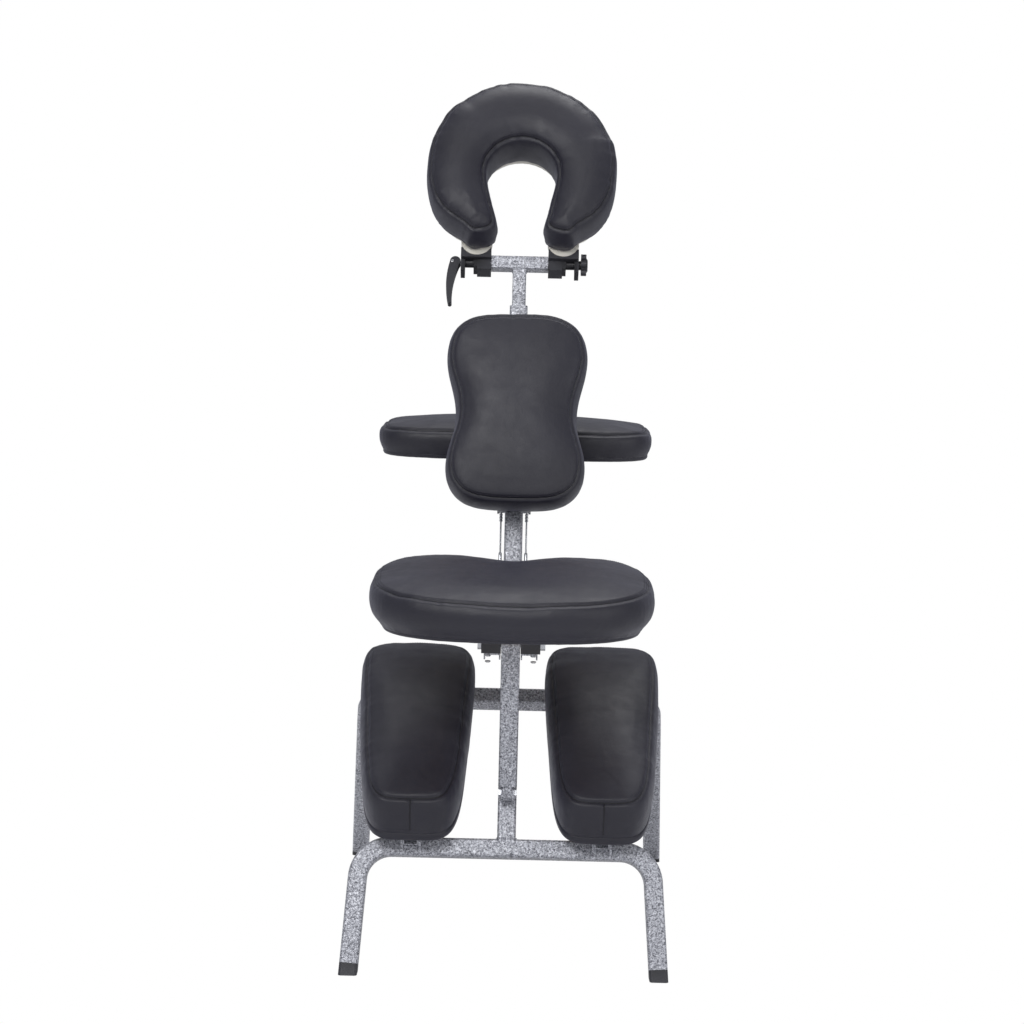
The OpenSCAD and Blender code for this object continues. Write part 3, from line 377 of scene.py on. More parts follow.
def vertices(mesh):
    flat = np.empty(len(mesh.vertices) * 3)
    mesh.vertices.foreach_get("co", flat)
    return flat.reshape(-1, 3)


def setVertices(mesh, points):
    mesh.vertices.foreach_set("co", np.asarray(points).ravel())
    mesh.update()


def normals(mesh):
    flat = np.empty(len(mesh.vertices) * 3, np.float32)
    mesh.vertex_normals.foreach_get("vector", flat)
    return flat.reshape(-1, 3).astype(float)


def ringFaces(rings, around, closed):
    faces = []
    for j in range(rings if closed else rings - 1):
        n = (j + 1) % rings
        for i in range(around):
            k = (i + 1) % around
            faces.append((j * around + i, j * around + k, n * around + k, n * around + i))
    return faces


# a closed line's points again, as many as asked for and equally far apart
def even(points, count):
    points = np.asarray(points, float)
    points = np.vstack([points, points[:1]])
    along = np.concatenate([[0], np.cumsum(np.linalg.norm(np.diff(points, axis=0), axis=1))])
    at = np.linspace(0, along[-1], count, endpoint=False)
    return np.stack([np.interp(at, along, points[:, c]) for c in range(points.shape[1])], 1)


def newTree(name, inputs):
    tree = bpy.data.node_groups.new(name, "GeometryNodeTree")
    tree.interface.new_socket("Geometry", in_out="INPUT", socket_type="NodeSocketGeometry")
    for label, kind, value in inputs:
        made = tree.interface.new_socket(label, in_out="INPUT", socket_type=kind)
        if value is not None:
            made.default_value = value
    tree.interface.new_socket("Geometry", in_out="OUTPUT", socket_type="NodeSocketGeometry")
    return tree, tree.nodes.new("NodeGroupInput"), tree.nodes.new("NodeGroupOutput")


def closeTree(tree, source, out, materialSocket):
    real = addNode(tree, "GeometryNodeRealizeInstances", Geometry=source)
    coat = addNode(tree, "GeometryNodeSetMaterial", Geometry=real.outputs["Geometry"],
                   Material=materialSocket)
    tree.links.new(coat.outputs["Geometry"], out.inputs["Geometry"])


# thread stitches laid along every edge chain, one rounded bead of thread per pitch
def stitchTree():
    tree, given, out = newTree("stitches", [
        ("Pitch", "NodeSocketFloat", 0.0034), ("Length", "NodeSocketFloat", 0.0026),
        ("Thickness", "NodeSocketFloat", 0.0008), ("Material", "NodeSocketMaterial", None)])
    path = addNode(tree, "GeometryNodeMeshToCurve", Mesh=given.outputs["Geometry"])
    spaced = addNode(tree, "GeometryNodeResampleCurve", {"mode": "LENGTH"},
                     Curve=path.outputs["Curve"], Length=given.outputs["Pitch"])
    bead = addNode(tree, "GeometryNodeMeshUVSphere", Segments=8, Rings=5, Radius=0.5)
    size = addNode(tree, "ShaderNodeCombineXYZ", X=given.outputs["Length"], Y=given.outputs["Thickness"],
                   Z=given.outputs["Thickness"])
    shaped = addNode(tree, "GeometryNodeTransform", Geometry=bead.outputs["Mesh"],
                     Scale=size.outputs["Vector"])
    tangent = addNode(tree, "GeometryNodeInputTangent")
    turned = addNode(tree, "FunctionNodeAlignRotationToVector", {"axis": "X"},
                     Vector=tangent.outputs["Tangent"])
    laid = addNode(tree, "GeometryNodeInstanceOnPoints", Points=spaced.outputs["Curve"],
                   Instance=shaped.outputs["Geometry"], Rotation=turned.outputs["Rotation"])
    soft = addNode(tree, "GeometryNodeSetShadeSmooth", Geometry=laid.outputs["Instances"])
    closeTree(tree, soft.outputs[0], out, given.outputs["Material"])
    return tree


# wire rope: strands wound round a straight core, along z from 0
def ropeTree():
    tree, given, out = newTree("wireRope", [
        ("Span", "NodeSocketFloat", 0.14), ("Turns", "NodeSocketFloat", 15.0),
        ("Strands", "NodeSocketInt", 6), ("Rope Radius", "NodeSocketFloat", 0.0012),
        ("Strand Radius", "NodeSocketFloat", 0.00042), ("Material", "NodeSocketMaterial", None)])
    lay = sums(tree, "SUBTRACT", given.outputs["Rope Radius"], given.outputs["Strand Radius"])
    wound = addNode(tree, "GeometryNodeCurveSpiral", Resolution=16, Rotations=given.outputs["Turns"],
                    Height=given.outputs["Span"])
    for label in ("Start Radius", "End Radius"):
        tree.links.new(lay, wound.inputs[label])
    seats = addNode(tree, "GeometryNodeMeshLine", Count=given.outputs["Strands"])
    seats.inputs["Offset"].default_value = (0, 0, 0)
    index = addNode(tree, "GeometryNodeInputIndex")
    share = sums(tree, "DIVIDE", index.outputs["Index"], given.outputs["Strands"])
    angle = sums(tree, "MULTIPLY", share, 2 * math.pi)
    about = addNode(tree, "ShaderNodeCombineXYZ", Z=angle)
    copies = addNode(tree, "GeometryNodeInstanceOnPoints", Points=seats.outputs["Mesh"],
                     Instance=wound.outputs["Curve"], Rotation=about.outputs["Vector"])
    strands = addNode(tree, "GeometryNodeRealizeInstances", Geometry=copies.outputs["Instances"])
    profile = addNode(tree, "GeometryNodeCurvePrimitiveCircle", Resolution=7,
                      Radius=given.outputs["Strand Radius"])
    solid = addNode(tree, "GeometryNodeCurveToMesh", Curve=strands.outputs["Geometry"])
    tree.links.new(profile.outputs["Curve"], solid.inputs["Profile Curve"])
    core = addNode(tree, "GeometryNodeCurvePrimitiveLine")
    top = addNode(tree, "ShaderNodeCombineXYZ", Z=given.outputs["Span"])
    tree.links.new(top.outputs["Vector"], core.inputs["End"])
    heart = addNode(tree, "GeometryNodeCurveToMesh", Curve=core.outputs["Curve"])
    tree.links.new(profile.outputs["Curve"], heart.inputs["Profile Curve"])
    both = tree.nodes.new("GeometryNodeJoinGeometry")
    tree.links.new(solid.outputs["Mesh"], both.inputs["Geometry"])
    tree.links.new(heart.outputs["Mesh"], both.inputs["Geometry"])
    soft = addNode(tree, "GeometryNodeSetShadeSmooth", Geometry=both.outputs["Geometry"])
    closeTree(tree, soft.outputs[0], out, given.outputs["Material"])
    return tree


# copies of one small fastener mesh on points that carry their own direction
def fastenerTree():
    tree, given, out = newTree("fasteners", [
        ("Fastener", "NodeSocketObject", None), ("Material", "NodeSocketMaterial", None)])
    shape = addNode(tree, "GeometryNodeObjectInfo", Object=given.outputs["Fastener"])
    shape.inputs["As Instance"].default_value = True
    outward = addNode(tree, "GeometryNodeInputNamedAttribute", {"data_type": "FLOAT_VECTOR"}, Name="outward")
    across = addNode(tree, "GeometryNodeInputNamedAttribute", {"data_type": "FLOAT_VECTOR"}, Name="across")
    stood = addNode(tree, "FunctionNodeAlignRotationToVector", {"axis": "Z"},
                    Vector=outward.outputs["Attribute"])
    turned = addNode(tree, "FunctionNodeAlignRotationToVector", {"axis": "X", "pivot_axis": "Z"},
                     Rotation=stood.outputs["Rotation"], Vector=across.outputs["Attribute"])
    laid = addNode(tree, "GeometryNodeInstanceOnPoints", Points=given.outputs["Geometry"],
                   Instance=shape.outputs["Geometry"], Rotation=turned.outputs["Rotation"])
    closeTree(tree, laid.outputs["Instances"], out, given.outputs["Material"])
    return tree


trees = {"stitches": stitchTree(), "rope": ropeTree(), "fasteners": fastenerTree()}


def grow(made, tree, values):
    modifier = made.modifiers.new("nodes", "NODES")
    modifier.node_group = tree
    for entry in tree.interface.items_tree:
        if getattr(entry, "in_out", "") == "INPUT" and entry.name in values:
            modifier[entry.identifier] = values[entry.name]
    made.update_tag()
    return settle(made)


# closed chains of edges for the stitches to follow
def chains(name, lines):
    points, edges = [], []
    for line in lines:
        first, count = len(points), len(line)
        points += [tuple(p) for p in line]
        edges += [(first + i, first + (i + 1) % count) for i in range(count)]
    mesh = bpy.data.meshes.new(name)
    mesh.from_pydata(points, edges, [])
    return link(name, mesh)


def fasten(name, shape, points, outward, across, mat, body):
    mesh = bpy.data.meshes.new(name)
    mesh.from_pydata([tuple(p) for p in points], [], [])
    for label, value in (("outward", outward), ("across", across)):
        values = np.broadcast_to(np.asarray(value, float), (len(points), 3))
        mesh.attributes.new(label, "FLOAT_VECTOR", "POINT").data.foreach_set("vector", values.ravel())
    made = grow(link(name, mesh), trees["fasteners"], {"Fastener": shape, "Material": mat})
    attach(made, body)
    return made


# a body of revolution about z, from (radius, height) pairs in metres
def turned(name, profile, mat, around=24):
    points = []
    for radius, height in profile:
        for i in range(around):
            a = 2 * math.pi * i / around
            points.append((radius * math.cos(a), radius * math.sin(a), height))
    faces = ringFaces(len(profile), around, False)
    faces += [tuple(range(around)), tuple(range((len(profile) - 1) * around, len(profile) * around))]
    return meshFrom(name, points, faces, mat)


# a shape that is only copied, hidden until it is removed at the end
def stamp(name, mesh):
    made = link(name, mesh)
    made.hide_render = True
    made.hide_viewport = True
    return made


def power(value, exponent):
    return math.copysign(abs(value) ** exponent, value)


def powerCurve(a, b, n, t):
    return a * power(math.cos(t), 2 / n), b * power(math.sin(t), 2 / n)


# the pads' outlines about their own middles, drawn in by inset, at the angle t
def plainOutline(pad, inset, t):
    return powerCurve(pad["halfWidth"] - inset, pad["halfLength"] - inset, pad["square"], t)


def seatOutline(pad, inset, t):
    x, y = plainOutline(pad, inset, t)
    notch = pad["notch"] * math.exp(-(x / pad["notchWidth"]) ** 2) * max(math.sin(t), 0)
    return x, y - notch


def chestOutline(pad, inset, t):
    x, y = plainOutline(pad, inset, t)
    return x * (1 - pad["waist"] * math.exp(-((y - pad["waistAt"]) / pad["waistLength"]) ** 2)), y


def shinOutline(pad, inset, t):
    x, y = powerCurve(1, pad["halfLength"] - inset, pad["square"], t)
    share = 0.5 + y / (2 * pad["halfLength"])
    return x * ((pad["ankleWidth"] + pad["widening"] * share) / 2 - inset), y


# how far a pad's top lies below its full height
def seatFall(pad, x, y):
    dish = pad["dish"] * math.exp(-(x / pad["dishWidth"]) ** 2)
    return pad["slope"] * (0.5 - y / pad["slopeLength"]) + dish


def shinFall(pad, x, y):
    d = y / (2 * pad["halfLength"]) + 0.5 - pad["kneeFrom"]
    return pad["kneeFall"] * (d / (1 - pad["kneeFrom"])) ** 2 if d > 0 else 0


def noFall(pad, x, y):
    return 0


shinShape = {"outline": shinOutline, "fall": shinFall, "halfLength": 0.190, "square": 5,
             "ankleWidth": 0.134, "widening": 0.038, "kneeFrom": 0.64, "kneeFall": 0.028,
             "side": 0.058, "crown": 0.008, "seam": 0.0085, "boardInset": 0.005, "boardThick": 0.012}
pads = [
    {"name": "seatCushion", "node": "seat_pad", "body": "seat", "place": atSeat @ shift(0, 0.033, 0.0293),
     "outline": seatOutline, "halfWidth": 0.191, "halfLength": 0.147, "square": 2.7,
     "notch": 0.041, "notchWidth": 0.062, "fall": seatFall, "dish": 0.0015, "dishWidth": 0.10,
     "slope": 0.023, "slopeLength": 0.29, "side": 0.067, "crown": 0.010, "seam": 0.0075,
     "boardInset": 0.021, "boardThick": 0.010, "seed": 3},
    {"name": "chestCushion", "node": "chest_pad", "body": "chest_rest", "place": atChest @ shift(0, 0, 0.0103),
     "outline": chestOutline, "halfWidth": 0.106, "halfLength": 0.140, "square": 3.8,
     "waist": 0.2, "waistAt": -0.004, "waistLength": 0.062, "fall": noFall,
     "side": 0.064, "crown": 0.009, "seam": 0.0075, "boardInset": 0.019, "boardThick": 0.010, "seed": 5},
    {**shinShape, "name": "shinCushionLeft", "node": "shin_pad_left", "body": "shin_rest_left",
     "place": atShin @ shift(-chair["shinX"], 0.159, 0.0223), "seed": 7},
    {**shinShape, "name": "shinCushionRight", "node": "shin_pad_right", "body": "shin_rest_right",
     "place": atShin @ shift(chair["shinX"], 0.159, 0.0223), "seed": 8},
    {"name": "armCushion", "node": "arm_pad", "body": "arm_rest", "place": atArm @ shift(0, 0.104, 0.0203),
     "outline": plainOutline, "halfWidth": 0.196, "halfLength": 0.094, "square": 4.2, "fall": noFall,
     "side": 0.029, "crown": 0.009, "seam": 0.0065, "boardInset": 0.009, "boardThick": 0.010, "seed": 9},
]
# the horseshoe: its reach about its middle, and the hole with its narrowing mouth
facePad = {"name": "faceCushion", "node": "face_pad", "body": "cradle",
           "place": atCradle @ shift(0, -0.0183, 0) @ turnX(90), "halfWidth": 0.136, "middle": 0.128,
           "reachUp": 0.131, "reachDown": 0.120, "square": 2.8, "lobeTurn": math.radians(152),
           "lobeEnd": 0.0165, "hole": 0.047, "holeMiddle": 0.106, "holeNarrow": 0.018, "mouth": 0.076,
           "side": 0.064, "crown": 0.0125, "crownWidth": 0.036, "thinner": 0.16,
           "pull": 2.2, "rounds": 6, "even": 10, "seed": 11, "floor": 0.0}
# how the leather covers are remeshed, smoothed, taken in and blown up; cap is the most that a point moves
cover = {"voxel": 0.005, "rounds": 5, "takenIn": 0.0018, "pressure": 4, "tension": 40, "shear": 20,
         "bending": 6, "steps": 20, "cap": 0.006, "even": 24, "share": 0.72}


def ringAt(pad, inset, count):
    dense = [pad["outline"](pad, inset, 2 * math.pi * i / 1440) for i in range(1440)]
    return even(dense, count)


# rings from the board's edge up the side to the seam, then rings of the crowned top
def cushionShape(pad, count=160):
    side, seam = pad["side"], pad["seam"]
    edge, under = pad["boardInset"] - 0.0012, 0.0001 - pad["boardThick"]
    profile = [(edge * v ** 2.6, 0.52 - v * (0.52 - under / side))
               for v in (1, 0.93, 0.85, 0.72, 0.55, 0.35, 0.0)]
    profile += [(seam * 0.08, 0.68), (seam * 0.30, 0.82), (seam * 0.62, 0.93), (seam, 1.0)]
    rings = []
    for inset, height in profile:
        ring = ringAt(pad, inset, count)
        fall = np.array([pad["fall"](pad, x, y) for x, y in ring])
        rings.append(np.column_stack([ring, height * side - max(height, 0) * fall]))
    top = rings[-1][:, :2]
    for k in (0.95, 0.88, 0.78, 0.64, 0.46, 0.24):
        ring = top * k
        fall = np.array([pad["fall"](pad, x, y) for x, y in ring])
        rise = pad["crown"] * (1 - k ** 3) + 0.0015
        rings.append(np.column_stack([ring, side + rise - fall]))
    height = side + pad["crown"] + 0.0015 - pad["fall"](pad, 0, 0)
    points = np.vstack(rings + [[[0, 0, under]], [[0, 0, height]]])
    faces = ringFaces(len(rings), count, False)
    low, high = len(points) - 2, len(points) - 1
    last = (len(rings) - 1) * count
    for i in range(count):
        k = (i + 1) % count
        faces.append((low, k, i))
        faces.append((high, last + i, last + k))
    pad["floor"] = under
    return points, faces, [rings[10]]


def faceOuter(a):
    s, c = math.sin(a), math.cos(a)
    e = 1 if c > 0 else 2 / facePad["square"]
    reach = facePad["reachUp"] if c > 0 else facePad["reachDown"]
    return np.array([facePad["halfWidth"] * power(s, e), facePad["middle"] + reach * power(c, e)])


def faceInner(a):
    k = max(abs(a) - math.pi / 2, 0) / (facePad["lobeTurn"] - math.pi / 2)
    r, middle = facePad["hole"], facePad["holeMiddle"]
    if k > 0:
        half = r - facePad["holeNarrow"] * k ** 1.3
        return np.array([math.copysign(half, a), middle - facePad["mouth"] * k])
    return np.array([math.copysign(r * math.sin(abs(a)), a), middle + r * math.cos(a)])


# the horseshoe's outline with rounded lobe ends, drawn in by the side's profile up to the seam
def faceShape():
    turn = facePad["lobeTurn"]
    line = [faceOuter(-turn + 2 * turn * i / 180) for i in range(181)]
    for side in (1, -1):
        p, q = faceOuter(side * turn), faceInner(side * turn)
        for e in np.linspace(1, -1, 25)[1:-1] * side:
            drop = facePad["lobeEnd"] * (1 - abs(e) ** 2.6) ** (1 / 2.6)
            line.append((p + q) / 2 + e * (p - q) / 2 - np.array([0, drop]))
        if side > 0:
            line += [faceInner(turn - 2 * turn * i / 180) for i in range(181)]
    line = even(line, 900)
    for _ in range(26):
        line = (np.roll(line, 1, 0) + 2 * line + np.roll(line, -1, 0)) / 4
    tangent = np.roll(line, -1, 0) - np.roll(line, 1, 0)
    tangent /= np.linalg.norm(tangent, axis=1, keepdims=True)
    outward = np.column_stack([-tangent[:, 1], tangent[:, 0]])
    centre = np.array([0, facePad["middle"]])
    if np.mean(np.sum(outward[:120] * (line[:120] - centre), axis=1)) < 0:
        outward = -outward
    rings = []
    for inset, height in ((0.004, 0.0), (0.0015, 0.10), (0.0, 0.28), (0.0, 0.55), (0.0012, 0.80),
                          (0.0032, 0.93), (0.0066, 1.0)):
        flat = line - outward * inset
        rings.append(np.column_stack([flat, np.full(len(flat), facePad["side"] * height)]))
    count = len(line)
    faces = ringFaces(len(rings), count, False)
    faces += [tuple(range(count - 1, -1, -1)), tuple(range((len(rings) - 1) * count, len(rings) * count))]
    return np.vstack(rings), faces, [rings[-1]]


# the lobes grow thinner towards their ends
def thinLobes(points):
    points = points.copy()
    share = np.abs(np.arctan2(points[:, 0], points[:, 1] - 0.110)) / facePad["lobeTurn"]
    points[:, 2] *= 1 - facePad["thinner"] * np.minimum(share, 1.1) ** 2
    return points


# the top panel's crown, on points that the remesh has spaced evenly
def crownFace(points, seam):
    tree = KDTree(len(seam))
    for i, p in enumerate(seam):
        tree.insert((p[0], p[1], 0), i)
    tree.balance()
    inside = np.array([tree.find((x, y, 0))[2] for x, y, _ in points])
    rise = facePad["crown"] * (1 - (1 - np.minimum(inside / facePad["crownWidth"], 1)) ** 2)
    points = points.copy()
    points[:, 2] += rise * (points[:, 2] > facePad["side"] - 0.0015)
    return thinLobes(points)


def remeshed(made, voxel):
    modifier = made.modifiers.new("voxels", "REMESH")
    modifier.mode = "VOXEL"
    modifier.voxel_size = voxel
    modifier.use_smooth_shade = True
    return settle(made)


def soften(made, rounds):
    modifier = made.modifiers.new("softer", "SMOOTH")
    modifier.factor = 0.5
    modifier.iterations = rounds
    return settle(made)


# averages a value over each point's neighbours, so that the swelling stays smooth under tight leather
def spread(mesh, values, rounds):
    edges = np.empty(len(mesh.edges) * 2, np.int64)
    mesh.edges.foreach_get("vertices", edges)
    a, b = edges.reshape(-1, 2).T
    count = np.bincount(a, minlength=len(values)) + np.bincount(b, minlength=len(values))
    for _ in range(rounds):
        total = np.zeros_like(values)
        for axis in range(3):
            total[:, axis] = np.bincount(a, values[b, axis], len(values))
            total[:, axis] += np.bincount(b, values[a, axis], len(values))
        values = 0.4 * values + 0.6 * total / np.maximum(count, 1)[:, None]
    return values


def startPad(pad, points, faces, seams):
    made = link(pad["name"], meshFrom(pad["name"], points, faces, leather))
    remeshed(made, cover["voxel"])
    if pad is facePad:
        setVertices(made.data, crownFace(vertices(made.data), seams[0]))
        seams = [thinLobes(seams[0])]
    soften(made, pad.get("rounds", cover["rounds"]))
    start = vertices(made.data)
    held = made.vertex_groups.new(name="held")
    floor = pad["floor"] + 0.004
    low = np.where(start[:, 2] < floor)[0]
    held.add([int(i) for i in low], 1.0, "REPLACE")
    # taken in a little all round, since the cover swells when it is stuffed
    shrunk = start - normals(made.data) * cover["takenIn"] * (start[:, 2:] > floor)
    setVertices(made.data, shrunk)
    pad["object"], pad["start"], pad["seams"] = made, shrunk, seams
    return made


for pad in pads:
    startPad(pad, *cushionShape(pad))
startPad(facePad, *faceShape())
allPads = pads + [facePad]
print("pads started")


# the covers swell under pressure
def stuffPads():
    for pad in allPads:
        cloth = pad["object"].modifiers.new("cloth", "CLOTH")
        values = cloth.settings
        values.use_pressure = True
        values.uniform_pressure_force = cover["pressure"]
        values.effector_weights.gravity = 0
        values.vertex_group_mass = "held"
        values.quality = 4
        values.tension_stiffness = cover["tension"]
        values.compression_stiffness = cover["tension"]
        values.shear_stiffness = cover["shear"]
        values.bending_stiffness = cover["bending"]
        cloth.collision_settings.use_collision = False
        cloth.point_cache.frame_start = 1
        cloth.point_cache.frame_end = cover["steps"] + 4
    for step in range(1, cover["steps"] + 1):
        scene.frame_set(step)
    for pad in allPads:
        made = pad["object"]
        after = vertices(evaluated(made))
        made.modifiers.clear()
        move = after - pad["start"]
        far = np.linalg.norm(move, axis=1, keepdims=True)
        move *= np.minimum(1, cover["cap"] / np.maximum(far, 1e-9))
        move = cover["share"] * spread(made.data, move, pad.get("even", cover["even"]))
        pad["swell"] = float(far.mean())
        setVertices(made.data, pad["start"] + move)
    scene.frame_set(1)


stuffPads()
print("pads stuffed", [round(1000 * pad["swell"], 2) for pad in allPads])


def refine(made):
    modifier = made.modifiers.new("finer", "SUBSURF")
    modifier.levels = 1
    modifier.render_levels = 1
    return settle(made)


# value noise along a line, for the puckers that the stitching pulls
def waves(along, length, seed):
    lattice = np.random.default_rng(seed).uniform(-1, 1, 4096)
    at = along / length
    low = np.floor(at).astype(int)
    share = at - low
    share = share * share * (3 - 2 * share)
    return lattice[low % 4096] * (1 - share) + lattice[(low + 1) % 4096] * share


# the seam laid on the cover, its direction, and for each point the nearest seam point, the way from it
# and its length along the seam
def seamDistances(points, seam, skin):
    dense = even(seam, 700)
    for _ in range(30):
        dense = (np.roll(dense, 1, 0) + 2 * dense + np.roll(dense, -1, 0)) / 4
    dense = np.array([skin.find_nearest(Vector(p))[0] for p in dense])
    step = np.linalg.norm(np.roll(dense, -1, 0) - dense, axis=1)
    along = np.cumsum(step) - step
    tangent = np.roll(dense, -1, 0) - np.roll(dense, 1, 0)
    tangent /= np.maximum(np.linalg.norm(tangent, axis=1, keepdims=True), 1e-9)
    tree = KDTree(len(dense))
    for i, p in enumerate(dense):
        tree.insert(p, i)
    tree.balance()
    index = np.array([tree.find(p)[1] for p in points])
    away = points - dense[index]
    away -= tangent[index] * np.sum(away * tangent[index], axis=1, keepdims=True)
    return dense, tangent, index, away, along[index]


sewing = {"rows": (0.0030, 0.0062), "pitch": 0.0034, "length": 0.0025, "thickness": 0.00075,
          "sink": 0.0017, "sinkWidth": 0.0030, "finePucker": 0.0005, "widePucker": 0.0008, "slack": 0.0006}


# the groove, the puckers and the stitches of one cover, and what the frame is told about it
def sewPad(pad):
    made = refine(pad["object"])
    mesh = made.data
    points = vertices(mesh)
    face = normals(mesh)
    skin = BVHTree.FromPolygons([Vector(p) for p in points], [tuple(p.vertices) for p in mesh.polygons])
    dense, tangent, index, away, along = seamDistances(points, pad["seams"][0], skin)
    inward = -np.cross(tangent, [0, 0, 1])
    if np.mean(np.sum(inward[:, :2] * (-(dense - dense.mean(0))[:, :2]), axis=1)) < 0:
        inward = -inward
    across = 0.75 * inward[index] + np.array([0, 0, 0.65])
    distance = np.linalg.norm(away, axis=1)
    signed = distance * np.sign(np.sum(away * across, axis=1) + 1e-12)
    top = points[:, 2] > pad["floor"] + 0.004
    sink = sewing["sink"] * np.exp(-(distance / sewing["sinkWidth"]) ** 2)
    pull = pad.get("pull", 1.0)
    pucker = waves(along, 0.008, pad["seed"]) * sewing["finePucker"] * pull * np.exp(-distance / 0.009)
    pucker += waves(along, 0.026, pad["seed"] + 20) * sewing["widePucker"] * pull * np.exp(-distance / 0.032)
    slack = waves(points[:, 0] + 0.4 * points[:, 1] + 1, 0.07, pad["seed"] + 40)
    slack *= waves(points[:, 1] + 1.7, 0.05, pad["seed"] + 60)
    points = points + face * ((pucker + sewing["slack"] * slack - sink) * top)[:, None]
    points[:, 2] = np.maximum(points[:, 2], pad["floor"])
    end = np.full(len(points), 0.05)
    # the shin covers have a short upright seam in the middle of their lower end
    if "shin" in pad["name"]:
        nearEnd = (points[:, 1] < -0.15) & (signed < 0) & (points[:, 2] > 0.004)
        end[nearEnd] = points[nearEnd, 0]
        points -= face * (0.001 * np.exp(-(end / 0.0028) ** 2) * top * nearEnd)[:, None]
    setVertices(mesh, points)
    for label, value in (("seam", signed), ("endSeam", end)):
        mesh.attributes.new(label, "FLOAT", "POINT").data.foreach_set("value", value.astype(np.float32))
    # two rows of stitches on the top panel side, laid on the finished cover
    skin = BVHTree.FromPolygons([Vector(p) for p in points], [tuple(p.vertices) for p in mesh.polygons])
    rows = []
    for offset in sewing["rows"]:
        line = dense + (0.96 * inward + np.array([0, 0, 0.28])) * offset
        laid = []
        for p in line:
            spot, outward, _, _ = skin.find_nearest(Vector(p))
            laid.append(spot + outward * 0.00005)
        rows.append(even(np.array(laid), len(laid)))
    mesh.polygons.foreach_set("use_smooth", [True] * len(mesh.polygons))
    stitches = grow(chains(pad["name"] + "Stitches", rows), trees["stitches"],
                    {"Pitch": sewing["pitch"], "Length": sewing["length"],
                     "Thickness": sewing["thickness"], "Material": thread})
    for piece in (made, stitches):
        piece.data.transform(pad["place"])
    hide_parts(pad["node"])
    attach(made, pad["body"])
    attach(stitches, pad["body"])


for pad in allPads:
    sewPad(pad)
print("pads sewn")


# a staple's flat back, as half width, half thickness and height below and above
stapleEnds = ((0.0052, 0.0005, -0.0003), (0.0048, 0.0004, 0.0004))
stapleCorners = [(u * x, v * y, z) for x, y, z in stapleEnds for u, v in ((-1, -1), (1, -1), (1, 1), (-1, 1))]
staple = stamp("stapleShape", meshFrom(
    "stapleShape", moved(shift(0, 0, 0.0003), stapleCorners),
    [(3, 2, 1, 0), (4, 5, 6, 7), (0, 1, 5, 4), (1, 2, 6, 5), (2, 3, 7, 6), (3, 0, 4, 7)], zincSteel, False))

wrap = {"flap": 0.018, "pleatDepth": 0.0004, "pleatLength": 0.011, "staples": 46, "stapleInset": 0.005}


# leather drawn over each board's edge and stapled to its back, in shallow pleats
def wrapBoard(pad, count=220):
    inset, flap = pad["boardInset"], wrap["flap"]
    under = -0.0003 - pad["boardThick"]
    profile = [(-0.0017, -0.0006), (-0.0017, under + 0.0008), (-0.0004, under - 0.0010),
               (0.002, under - 0.0016), (flap, under - 0.0013), (flap + 0.001, under - 0.0006),
               (flap, under - 0.0001), (0.002, under - 0.0001), (-0.0002, under - 0.0001), (-0.0002, -0.0006)]
    rings = []
    for offset, height in profile:
        ring = ringAt(pad, inset + offset, count)
        around = np.linspace(0, 1, count, endpoint=False)
        pleat = waves(around, wrap["pleatLength"], pad["seed"]) if offset > 0.001 else 0
        level = height - (wrap["pleatDepth"] * np.abs(pleat) if height < under - 0.0005 else 0)
        rings.append(np.column_stack([ring, np.broadcast_to(level, (count,))]))
    made = link(pad["name"] + "Wrap", meshFrom(pad["name"] + "Wrap", np.vstack(rings),
                                               ringFaces(len(rings), count, True), wrapLeather))
    made.data.transform(pad["place"])
    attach(made, pad["body"])
    ring = ringAt(pad, inset + flap - wrap["stapleInset"], count)
    line = even(np.column_stack([ring, np.full(count, under - 0.0015)]), wrap["staples"])
    tangent = np.roll(line, -1, 0) - np.roll(line, 1, 0)
    turn = pad["place"].to_3x3()
    fasten(pad["name"] + "Staples", staple, moved(pad["place"], line), turn @ Vector((0, 0, -1)),
           [tuple(turn @ Vector(t)) for t in tangent], zincSteel, pad["body"])


for pad in pads:
    wrapBoard(pad)
print("boards wrapped")


# both wire ropes: their ends up the spine's lean, their place beside it, and the loops round their bolts
ropePair = {"low": 0.491341, "high": 0.640, "out": 0.0005015, "side": 0.0177, "turns": 15.0,
            "endLength": 0.006, "loop": 0.00385, "wire": 0.0012}


